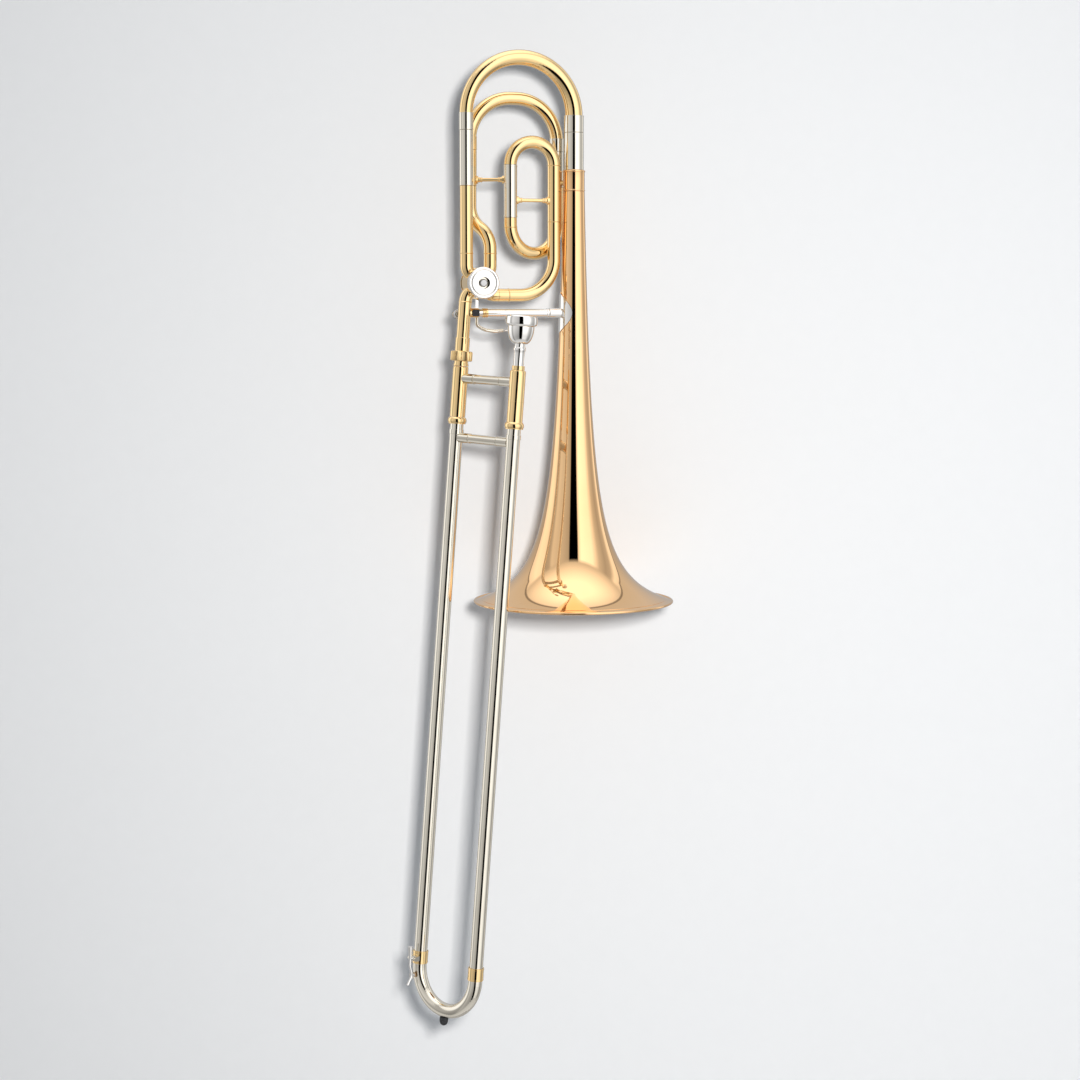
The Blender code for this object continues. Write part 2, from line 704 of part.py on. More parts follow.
def build_stop_arm():
    half = ROTOR_TURN / 2
    tip = math.radians(half)
    lug = math.radians(half + 180)
    low = arm_front()
    high = arm_back()
    arm = turned(
        "stop_arm", ring_profile(low, high, STOP_ARM_HUB, STEM_RADIUS + GAP), VALVE_FRAME, "steel")
    for name, angle, reach in (("tip", tip, ROTOR_ARM), ("lug", lug, STOP_LUG_REACH)):
        ray = Vector((math.cos(angle), -math.sin(angle)))
        side = Vector((-ray.y, ray.x)) * ARM_WIDTH / 2
        root = ray * (STEM_RADIUS + 2 * GAP)
        end = ray * (reach + ARM_WIDTH / 2 if name == "tip" else reach)
        outline = [root - side, end - side, end + side, root + side]
        join(arm, plate("arm_" + name, [tuple(point) for point in outline], low, high,
                        VALVE_FRAME, None))
    pin = VALVE_FRAME @ Vector((ROTOR_ARM * math.cos(tip), -ROTOR_ARM * math.sin(tip), low + EDGE))
    join(arm, bar("arm_pin", pin, pin + Y * (STOP_ARM_THICKNESS + LINK_THICKNESS), PIN_RADIUS))


def build_stop_bumpers():
    """Cushions that the stop arm's lug meets at both ends of the rotor's quarter turn."""
    reach = STOP_LUG_REACH - BUMPER_SIZE / 2
    offset = ARM_WIDTH / 2 + GAP + BUMPER_SIZE / 2
    low = CASING_BACK + GAP
    half = ROTOR_TURN / 2
    for name, degrees, side in (
            ("stop_bumper_rest", 180 + half, 1), ("stop_bumper_pressed", 180 - half, -1)):
        angle = math.radians(degrees)
        ray = Vector((math.cos(angle), -math.sin(angle)))
        across = Vector((-ray.y, ray.x)) * -side
        middle = ray * reach + across * offset
        corner = BUMPER_SIZE / 2
        outline = [
            middle - ray * corner - across * corner, middle + ray * corner - across * corner,
            middle + ray * corner + across * corner, middle - ray * corner + across * corner]
        plate(name, [tuple(point) for point in outline], low, arm_back(), VALVE_FRAME,
              "black_rubber")


def lever_pivot():
    """Pivot of the thumb lever, where its arm is level at the middle of its travel."""
    return VALVE + Vector((ROTOR_ARM * math.cos(math.radians(ROTOR_TURN / 2)) - LEVER_ARM, 0,
                           -LEVER_DROP))


def lever_angle():
    """Half of the lever's travel, which moves the link as far as the rotor's quarter turn."""
    return math.asin(ROTOR_ARM * math.sin(math.radians(ROTOR_TURN / 2)) / LEVER_ARM)


def link_foot():
    """Pin between lever and link at rest."""
    angle = lever_angle()
    return lever_pivot() + Vector((LEVER_ARM * math.cos(angle), 0, LEVER_ARM * math.sin(angle)))


def strip(name, points, width, low, high, matrix):
    """Flat strip of even width along a bent line, with round ends."""
    left = []
    right = []
    for index, point in enumerate(points):
        before = points[max(index - 1, 0)]
        after = points[min(index + 1, len(points) - 1)]
        along = (after - before).normalized()
        side = Vector((-along.y, along.x)) * width / 2
        left.append(tuple(point + side))
        right.append(tuple(point - side))
    return plate(name, left + right[::-1], low, high, matrix, None)


def build_thumb_lever():
    """Hub on the post, an arm to the link, and a finger plate that curves to the bell side."""
    low = arm_front()
    high = low + LEVER_THICKNESS
    pivot = frame(lever_pivot(), Y, X)
    lever = turned(
        "thumb_lever", ring_profile(low, high, LEVER_HUB_RADIUS, POST_PIN_RADIUS + GAP), pivot,
        "silver_plate")
    angle = lever_angle()
    foot = Vector((LEVER_ARM * math.cos(angle), -LEVER_ARM * math.sin(angle)))
    start = Vector((LEVER_HUB_RADIUS * 0.8, 0))
    arm = strip("lever_arm", [start, foot * 0.5, foot, foot * 1.06], ARM_WIDTH, low, high, pivot)
    join(lever, arm)
    bend = Vector((foot.x * 0.92, PADDLE_DROP * 0.55))
    tip = Vector((PADDLE_REACH, PADDLE_DROP))
    knee = Vector((foot.x * 1.15, PADDLE_DROP * 0.95))
    join(lever, strip(
        "lever_drop", [foot * 0.94, bend, knee, (knee + tip) / 2, tip - Vector((ARM_WIDTH / 2, 0))],
        ARM_WIDTH, low, high, pivot))
    plate_shape = turned(
        "lever_paddle", rod_profile([(PADDLE_WIDTH / 2, PADDLE_THICKNESS)]), pivot @ frame(
            Vector((tip.x, tip.y, (low + high) / 2)), Vector((0.2, -1, 0)), X), None)
    plate_shape.scale = (PADDLE_LENGTH / PADDLE_WIDTH, 1, 1)
    join(lever, plate_shape)
    pin = link_foot() + Y * (low + EDGE)
    join(lever, bar("lever_pin", pin, pin + Y * (LEVER_THICKNESS + LINK_THICKNESS), PIN_RADIUS))


def build_link():
    """Rod from the lever's pin to the rotor arm's pin, which sits in a wider eye."""
    foot = frame(link_foot(), Y, X)
    low = link_front()
    high = low + LINK_THICKNESS
    tip = VALVE + Vector((ROTOR_ARM * math.cos(math.radians(ROTOR_TURN / 2)), 0,
                          ROTOR_ARM * math.sin(math.radians(ROTOR_TURN / 2))))
    sway = ROTOR_ARM * (1 - math.cos(math.radians(ROTOR_TURN / 2))) / 2
    sway -= LEVER_ARM * (1 - math.cos(lever_angle())) / 2
    top = tip - link_foot()
    eye = Vector((top.x + sway, -top.z))
    bore = PIN_RADIUS + OPEN_PIVOT_CLEARANCE
    link = turned(
        "link_rod", ring_profile(low, high, PIN_RADIUS + GAP + EYE_WALL, PIN_RADIUS + GAP), foot,
        "silver_plate")
    ring = turned(
        "link_eye", ring_profile(low, high, bore + EYE_WALL, bore),
        foot @ Matrix.Translation((eye.x, eye.y, 0)), None)
    join(link, ring)
    along = eye.normalized()
    ends = [along * (PIN_RADIUS + EDGE), eye - along * (bore + EYE_WALL / 2)]
    join(link, strip("link_bar", ends, LINK_WIDTH, low, high, foot))


def build_lever_post():
    pivot = lever_pivot()
    shoulder = arm_front() - GAP
    pin_end = arm_front() + LEVER_THICKNESS + GAP
    post = turned(
        "lever_post",
        [(0, POST_BASE), (POST_RADIUS, POST_BASE), (POST_RADIUS, shoulder),
         (POST_PIN_RADIUS, shoulder),
         (POST_PIN_RADIUS, pin_end), (POST_HEAD_RADIUS, pin_end),
         (POST_HEAD_RADIUS, pin_end + POST_HEAD_THICKNESS), (0, pin_end + POST_HEAD_THICKNESS)],
        frame(pivot, Y, X), "nickel_silver")
    cut(post, gooseneck_seat("post_seat"))
    coil = []
    per_turn = 8
    start = BORE_TUBE_RADIUS + SPRING_CLEARANCE
    for step in range(SPRING_TURNS * per_turn + 1):
        angle = math.tau * step / per_turn
        coil.append(Vector((
            SPRING_RADIUS * math.cos(angle), SPRING_RADIUS * math.sin(angle),
            start + SPRING_PITCH * step / per_turn)))
    wire_coil("lever_spring", coil, SPRING_WIRE_RADIUS, frame(pivot, Y, X), "steel")
    print("lever_spring least gap to itself, mm:",
          round((SPRING_PITCH - 2 * SPRING_WIRE_RADIUS) / MM, 2))


def wire_coil(name, points, radius, matrix, finish_name):
    """Round wire through the points."""
    curve = bpy.data.curves.new(name, "CURVE")
    curve.dimensions = "3D"
    curve.bevel_depth = radius
    curve.bevel_resolution = 1
    curve.use_fill_caps = True
    line = curve.splines.new("POLY")
    line.points.add(len(points) - 1)
    for spot, point in zip(line.points, points):
        spot.co = (*point, 1)
    curve.materials.append(finish(finish_name))
    item = bpy.data.objects.new(name, curve)
    bpy.context.collection.objects.link(item)
    item.matrix_world = matrix


# Tubing behind the valve

def build_f_tubing():
    corners = [
        at(F_OUT_START + GAP, 0, -F_OUT_DROP), at(F_FRONT_X, 0, -F_OUT_DROP),
        at(F_FRONT_X, 0, F_LOOP_TOP)]
    pipe("f_out_tube", corners, [F_OUT_BEND], BORE_TUBE_RADIUS, WORLD, "yellow_brass")
    bend = (F_FRONT_X - F_LOOP_X) / 2
    corners = [
        at(F_FRONT_X, 0, F_LOOP_TOP + GAP), at(F_FRONT_X, 0, F_LOOP_TOP + GAP + bend),
        at(F_LOOP_X, 0, F_LOOP_TOP + GAP + bend), at(F_LOOP_X, 0, F_LOOP_TOP + GAP)]
    pipe("f_loop_top_crook", corners, [bend, bend], BORE_TUBE_RADIUS, WORLD, "yellow_brass")
    pipe(
        "f_loop_leg", [at(F_LOOP_X, 0, F_LOOP_TOP), at(F_LOOP_X, 0, F_LEG_BOTTOM)], [],
        F_LEG_RADIUS, WORLD, "nickel_silver", F_LEG_RADIUS - BORE_TUBE_RADIUS + TUBE_WALL)
    bend = math.hypot(F_BACK_X - F_LOOP_X, F_BACK_Y) / 2
    low = F_BOTTOM_CROOK - bend
    corners = [
        at(F_LOOP_X, 0, F_LEG_BOTTOM - GAP), at(F_LOOP_X, 0, low), at(F_BACK_X, F_BACK_Y, low),
        at(F_BACK_X, F_BACK_Y, F_SLEEVE_START - GAP)]
    pipe("f_loop_bottom_crook", corners, [bend, bend], BORE_TUBE_RADIUS, WORLD, "yellow_brass")
    corners = [
        at(F_NECK_X, F_BACK_Y, F_SLEEVE_START - GAP), at(F_NECK_X, F_BACK_Y, F_SWAN_TOP),
        at(F_RETURN_X, 0, F_SWAN_BOTTOM), at(F_RETURN_X, 0, NECKPIPE_START + GAP)]
    shift = math.hypot(F_RETURN_X - F_NECK_X, F_BACK_Y)
    rise = F_SWAN_TOP - F_SWAN_BOTTOM
    turn = 2 * math.atan2(shift, rise)
    bend = rise / (2 * math.sin(turn))
    half = bend * math.tan(turn / 2)
    corners[1] -= Z * half
    corners[2] += Z * half
    pipe("f_return_tube", corners, [bend, bend], BORE_TUBE_RADIUS, WORLD, "yellow_brass")
    for name, place in (("f_sleeve_bell", F_BACK_X), ("f_sleeve_neck", F_NECK_X)):
        pipe(
            name, [at(place, F_BACK_Y, F_SLEEVE_START), at(place, F_BACK_Y, F_SLEEVE_TOP)], [],
            NECK_SLEEVE_RADIUS, WORLD, "nickel_silver", SLEEVE_WALL)


def build_f_slide():
    span = F_BACK_X - F_NECK_X
    low = F_SLEEVE_TOP + F_FERRULE_LENGTH - SOCKET_DEPTH + 2 * GAP
    corners = [
        Vector((0, 0, low)), Vector((0, 0, F_CROOK_TOP)), Vector((span, 0, F_CROOK_TOP)),
        Vector((span, 0, low))]
    pipe(
        "f_crook", corners, [F_CROOK_BEND, F_CROOK_BEND], BORE_TUBE_RADIUS, F_SLIDE_FRAME,
        "yellow_brass")
    for name, place in (("f_leg_neck", 0), ("f_leg_bell", span)):
        slide_leg(
            name, F_SLIDE_FRAME @ Matrix.Translation(X * place), BORE_TUBE_RADIUS,
            NECK_SLEEVE_RADIUS, F_SLEEVE_TOP, F_FERRULE_LENGTH, F_LEG_LENGTH, TUBE_SIDES)


# Braces

def stay(name, start, end, start_radius, end_radius):
    """Thin stay between two upright tubes, with a flange and a socket at each."""
    along = (end - start).normalized()
    length = (end - start).length
    first = start_radius * 0.8
    last = end_radius * 0.8
    reach = length - first - last
    flange = start_radius - first + GAP + STAY_FLANGE_THICKNESS
    end_flange = end_radius - last + GAP + STAY_FLANGE_THICKNESS
    rod = reach - flange - end_flange - 2 * STAY_SOCKET_LENGTH
    spans = [
        (STAY_FLANGE_RADIUS, flange), (STAY_SOCKET_RADIUS, STAY_SOCKET_LENGTH),
        (STAY_ROD_RADIUS, rod), (STAY_SOCKET_RADIUS, STAY_SOCKET_LENGTH),
        (STAY_FLANGE_RADIUS, end_flange)]
    item = turned(
        name, rod_profile(spans), frame(start + along * first, along, Z), "yellow_brass", 8)
    for end_name, place, radius in (("start", start, start_radius), ("end", end, end_radius)):
        reach = Z * STAY_FLANGE_RADIUS * 3
        cut(item, bar(name + "_" + end_name, place - reach, place + reach, radius + GAP))
    return item


def build_stays():
    stay(
        "loop_stay_upper", at(F_NECK_X, F_BACK_Y, UPPER_STAY_HEIGHT),
        at(F_LOOP_X, 0, UPPER_STAY_HEIGHT), NECK_SLEEVE_RADIUS, F_LEG_RADIUS)
    stay(
        "loop_stay_lower", at(F_LOOP_X, 0, LOWER_STAY_HEIGHT), at(F_FRONT_X, 0, LOWER_STAY_HEIGHT),
        F_LEG_RADIUS, BORE_TUBE_RADIUS)
    start = at(F_BACK_X, F_BACK_Y, BELL_STAY_HEIGHT)
    end = at(BELL_TO_NECK, 0, BELL_STAY_HEIGHT)
    along = (end - start).normalized()
    first = NECK_SLEEVE_RADIUS * 0.8
    length = (end - start).length - first - BELL_FERRULE_RADIUS * 0.8
    item = turned(
        "bell_stay", rod_profile([(STAY_SOCKET_RADIUS, length)]),
        frame(start + along * first, along, Z), "yellow_brass", 8)
    reach = Z * STAY_FLANGE_RADIUS * 3
    cut(item, bar("bell_stay_start", start - reach, start + reach, NECK_SLEEVE_RADIUS + GAP))
    cut(item, bar(
        "bell_stay_end", end - reach, end + reach, BELL_FERRULE_RADIUS + GAP, sides=BELL_SIDES))


def gooseneck_seat(name):
    """Cutter round the gooseneck, with the fit's gap."""
    return bar(
        name, NECK + SLIDE_AXIS * GOOSENECK_START / 2, NECK + SLIDE_AXIS * GOOSENECK_END,
        BORE_TUBE_RADIUS + GAP)


def leaf_outline(half_width, half_height):
    """Outline of a leaf with pointed ends, widest at its middle."""
    rows = 8
    levels = [-1 + 2 * row / rows for row in range(rows + 1)]
    widths = [math.sin(math.radians(90 * (1 - abs(level) ** 1.15))) for level in levels]
    side = [
        (half_width * max(width, 0.06), half_height * level)
        for width, level in zip(widths, levels)]
    return side + [(-across, level) for across, level in side[::-1]]


def build_bell_brace():
    height = VALVE_HEIGHT - BRACE_DROP
    middle = height - RIM_HEIGHT - BEAD_RADIUS

    def seat_radius(level):
        return flare_radius(middle + level) + GAP

    levels = [FLANGE_HEIGHT * share for share in (-0.55, -0.275, 0, 0.275, 0.55)]
    inside = [(seat_radius(level), height + level) for level in levels]
    outside = [(radius + FLANGE_THICKNESS, place) for radius, place in inside]
    flange = turned(
        "bell_brace_flange", outside + inside[::-1], WORLD, "nickel_silver", BELL_SIDES)
    half_width = seat_radius(0) * math.sin(math.radians(FLANGE_HALF_ANGLE))
    leaf = plate(
        "flange_leaf", leaf_outline(half_width, FLANGE_HEIGHT / 2), 0, seat_radius(0) * 2,
        frame(Vector((0, 0, height)), -X, -Y), None)
    combine(flange, leaf, "INTERSECT")
    start = NECK - Z * BRACE_DROP - X * BRACE_DROP * math.tan(LEAN)
    end = Vector((0, 0, height))
    first = BORE_TUBE_RADIUS * 0.7
    flange_face = seat_radius(0) + FLANGE_THICKNESS
    last = flange_face * 0.8
    length = (end - start).length - first - last
    bell_socket = BRACE_SOCKET_LENGTH + flange_face - last
    neck_socket = BORE_TUBE_RADIUS - first + BRACE_NECK_SOCKET_LENGTH
    middle_length = length - bell_socket - neck_socket - BRACE_RING_WIDTH
    profile = rod_profile([
        (BRACE_THICK_RADIUS, neck_socket), (BRACE_THIN_RADIUS, middle_length),
        (BRACE_RING_RADIUS, BRACE_RING_WIDTH), (BRACE_THICK_RADIUS, bell_socket)])
    brace = turned("bell_brace", profile, frame(start + X * first, X, Z), "nickel_silver")
    cut(brace, gooseneck_seat("brace_seat"))
    reach = Z * BRACE_THICK_RADIUS * 3
    shape = bmesh.new()
    steps = 8
    stations = []
    radii = []
    for step in range(steps + 1):
        level = BRACE_THICK_RADIUS * 1.5 * (-1 + 2 * step / steps)
        stations.append((end + Z * level, Z))
        radii.append(seat_radius(level) + FLANGE_THICKNESS + GAP)
    for ring in add_wall(shape, stations, radii, Y, BELL_SIDES):
        shape.faces.new(ring)
    cut(brace, add_object("brace_bell_seat", shape, WORLD, None))
    size = BRACE_BUMPER_SIZE / 2
    back = -BRACE_THICK_RADIUS - GAP
    middle_x = start.x + BORE_TUBE_RADIUS + BRACE_NECK_SOCKET_LENGTH / 2
    plate(
        "brace_bumper", [(-size, -size), (size, -size), (size, size), (-size, size)], 0,
        BRACE_BUMPER_THICKNESS,
        frame(Vector((middle_x, back, height)), -Y, X), "black_rubber")


# Gooseneck and hand slide

def build_gooseneck():
    pipe(
        "gooseneck",
        [Vector((0, 0, GOOSENECK_START + GAP)), Vector((0, 0, GOOSENECK_END))], [],
        BORE_TUBE_RADIUS, GOOSENECK_FRAME, "yellow_brass")
    bore = BORE_TUBE_RADIUS + GAP
    flange = RECEIVER_END - RECEIVER_FLANGE_THICKNESS
    turned(
        "bell_receiver",
        [(bore, RECEIVER_START), (bore, RECEIVER_END), (RECEIVER_FLANGE_RADIUS, RECEIVER_END),
         (RECEIVER_FLANGE_RADIUS, flange), (RECEIVER_RADIUS, flange),
         (RECEIVER_RADIUS, RECEIVER_START + EDGE), (RECEIVER_RADIUS - EDGE / 2, RECEIVER_START)],
        GOOSENECK_FRAME, "yellow_brass")
    nut_end = NUT_START + NUT_LENGTH
    step = flange - GAP
    turned(
        "bell_lock_nut",
        [(RECEIVER_RADIUS + GAP, NUT_START), (RECEIVER_RADIUS + GAP, step),
         (COLLAR_RADIUS + GAP, step), (COLLAR_RADIUS + GAP, nut_end),
         (NUT_RADIUS - EDGE, nut_end), (NUT_RADIUS, nut_end - EDGE),
         (NUT_RADIUS, NUT_START + EDGE), (NUT_RADIUS - EDGE, NUT_START)],
        GOOSENECK_FRAME, "yellow_brass", NUT_FLUTES)


def build_inner_slide():
    tenon = BORE_TUBE_RADIUS
    bore = tenon - TUBE_WALL
    low = GOOSENECK_END + GAP
    turned(
        "slide_tenon",
        [(tenon, low), (tenon, COLLAR_START), (COLLAR_RADIUS, COLLAR_START),
         (COLLAR_RADIUS, BARREL_START - GAP), (bore, BARREL_START - GAP), (bore, low)],
        SLIDE_FRAME, "yellow_brass")
    inner = INNER_TUBE_RADIUS
    hollow = OUTER_TUBE_RADIUS + GAP
    shoulder = BARREL_START + BARREL_CAP
    end = BARREL_START + BARREL_LENGTH
    turned(
        "barrel_left",
        [(inner + GAP, BARREL_START), (inner + GAP, shoulder), (hollow, shoulder), (hollow, end),
         (BARREL_RADIUS, end), (BARREL_RADIUS, BARREL_START + EDGE),
         (BARREL_RADIUS - EDGE, BARREL_START)],
        SLIDE_FRAME, "yellow_brass")
    bead_end = end + BARREL_BEAD_LENGTH
    middle = end + BARREL_BEAD_LENGTH / 2
    bead = [
        (BARREL_RADIUS, end + GAP), (BARREL_BEAD_RADIUS, middle - 2 * EDGE),
        (BARREL_BEAD_RADIUS, middle + 2 * EDGE), (BARREL_BEAD_RADIUS - EDGE, bead_end)]
    turned(
        "slide_lock_ring", [(hollow, end + GAP)] + bead + [(hollow, bead_end)], SLIDE_FRAME,
        "yellow_brass")
    turned(
        "barrel_right",
        [(hollow, bead_end), (hollow, shoulder), (inner + GAP, shoulder),
         (inner + GAP, BARREL_START), (BARREL_RADIUS - EDGE, BARREL_START),
         (BARREL_RADIUS, BARREL_START + EDGE), (BARREL_RADIUS, end + GAP)] + bead[1:],
        MOUTH_FRAME, "yellow_brass")
    for name, matrix in (("inner_tube_left", SLIDE_FRAME), ("inner_tube_right", MOUTH_FRAME)):
        pipe(
            name, [Vector((0, 0, BARREL_START + GAP)), Vector((0, 0, INNER_TUBE_END))], [],
            INNER_TUBE_RADIUS, matrix, "nickel_silver", INNER_TUBE_WALL)
    top = MOUTH_RECEIVER_START
    seat = BARREL_START - GAP
    bore = LEADPIPE_RADIUS - LEADPIPE_WALL
    turned(
        "leadpipe",
        [(bore, top), (MOUTH_RECEIVER_RADIUS, top), (MOUTH_RECEIVER_RADIUS, seat),
         (LEADPIPE_RADIUS, seat), (LEADPIPE_RADIUS, seat + LEADPIPE_LENGTH),
         (bore, seat + LEADPIPE_LENGTH)],
        MOUTH_FRAME, "yellow_brass")
    slide_brace("inner_brace", INNER_BRACE_AT, BARREL_RADIUS)


def slide_brace(name, place, tube_radius):
    """Cross brace between the slide's legs: a thin middle between two sockets."""
    first = tube_radius * 0.8
    socket = tube_radius - first + SLIDE_SOCKET_LENGTH
    middle = SLIDE_SPACING - 2 * first - 2 * socket
    spans = [
        (SLIDE_SOCKET_RADIUS, socket), (SLIDE_BRACE_RADIUS, middle), (SLIDE_SOCKET_RADIUS, socket)]
    matrix = SLIDE_FRAME @ frame(Vector((first, 0, place)), X, Z)
    item = turned(name, rod_profile(spans), matrix, "nickel_silver")
    reach = Vector((0, 0, SLIDE_SOCKET_RADIUS * 2))
    for side, leg in (("left", SLIDE_FRAME), ("right", MOUTH_FRAME)):
        centre = Vector((0, 0, place))
        cut(item, bar(
            name + "_" + side, centre - reach, centre + reach, tube_radius + GAP, leg))
    return item


def crook_corners():
    """Corner points of the hand slide's crook in the slide's frame."""
    start = OUTER_TUBE_END + GAP
    bottom = SLIDE_CROOK_AT + SLIDE_SPACING / 2
    return [
        Vector((0, 0, start)), Vector((0, 0, bottom)), Vector((SLIDE_SPACING, 0, bottom)),
        Vector((SLIDE_SPACING, 0, start))]


def build_outer_slide():
    for side, matrix in (("left", SLIDE_FRAME), ("right", MOUTH_FRAME)):
        pipe(
            "outer_tube_" + side,
            [Vector((0, 0, OUTER_TUBE_START)), Vector((0, 0, OUTER_TUBE_END))], [],
            OUTER_TUBE_RADIUS, matrix, "nickel_silver", OUTER_TUBE_WALL)
        outer = SLIDE_CROOK_RADIUS + GAP + CROOK_FERRULE_WALL
        end = CROOK_FERRULE_START + CROOK_FERRULE_LENGTH
        seat = OUTER_TUBE_END + GAP / 2
        turned(
            "crook_ferrule_" + side,
            [(OUTER_TUBE_RADIUS + GAP, CROOK_FERRULE_START), (outer, CROOK_FERRULE_START),
             (outer, end), (SLIDE_CROOK_RADIUS + GAP, end), (SLIDE_CROOK_RADIUS + GAP, seat),
             (OUTER_TUBE_RADIUS + GAP, seat)],
            matrix, "yellow_brass")
    slide_brace("outer_brace", OUTER_BRACE_AT, OUTER_TUBE_RADIUS)
    bend = SLIDE_SPACING / 2
    crook = pipe(
        "slide_crook", crook_corners(), [bend, bend], SLIDE_CROOK_RADIUS, SLIDE_FRAME,
        "nickel_silver", SLIDE_CROOK_WALL)
    bottom = SLIDE_CROOK_AT + bend
    bumper = turned(
        "slide_bumper",
        rod_profile([(SLIDE_BUMPER_RADIUS, SLIDE_CROOK_RADIUS + SLIDE_BUMPER_LENGTH)]),
        SLIDE_FRAME @ Matrix.Translation((bend, 0, bottom)), "black_rubber")
    cut(bumper, pipe(
        "bumper_seat", crook_corners(), [bend, bend], SLIDE_CROOK_RADIUS + GAP, SLIDE_FRAME, None,
        0))
    return crook


def build_mouthpiece():
    top = MOUTHPIECE_TOP
    band = top + RIM_BAND
    cup_end = top + CUP_DEPTH
    outer_end = top + CUP_OUTER_LENGTH
    shank_start = MOUTH_RECEIVER_START
    shank_end = shank_start + SHANK_DEPTH
    outside = [
        (RIM_RADIUS - RIM_WALL, top), (RIM_RADIUS - RIM_ROUND, top + EDGE),
        (RIM_RADIUS, top + 3 * EDGE), (RIM_RADIUS, band - EDGE),
        (RIM_RADIUS - RIM_SHOULDER, band)]
    turns = [math.pi / 2 * step / MOUTHPIECE_STEPS for step in range(1, MOUTHPIECE_STEPS + 1)]
    swell = RIM_RADIUS - RIM_SHOULDER - WAIST_RADIUS
    for turn in turns:
        radius = WAIST_RADIUS + swell * math.cos(turn)
        outside.append((radius, band + (outer_end - band) * math.sin(turn)))
    collar_start = outer_end + WAIST_LENGTH
    collar_end = collar_start + SHANK_COLLAR_LENGTH
    outside += [
        (SHANK_COLLAR_RADIUS, collar_start), (SHANK_COLLAR_RADIUS, collar_end),
        (SHANK_RADIUS + SHANK_STEP, collar_end + 2 * EDGE),
        (SHANK_RADIUS, shank_start), (SHANK_END_RADIUS, shank_end)]
    inside = [
        (BACKBORE_RADIUS, shank_end), (THROAT_RADIUS, cup_end + THROAT_LENGTH),
        (THROAT_RADIUS, cup_end)]
    for turn in turns:
        radius = THROAT_RADIUS + (CUP_RADIUS - THROAT_RADIUS) * math.sin(turn)
        inside.append((radius, cup_end - (CUP_DEPTH - 2 * EDGE) * (1 - math.cos(turn))))
    inside.append((CUP_RADIUS + RIM_LIP, top + RIM_BITE))
    turned("mouthpiece", outside + inside, MOUTH_FRAME, "silver_plate", MOUTHPIECE_SIDES)


# Water key

def key_point(height, place):
    """Point on the water key's plane, out from the left leg's axis."""
    return Vector((0, height, place))


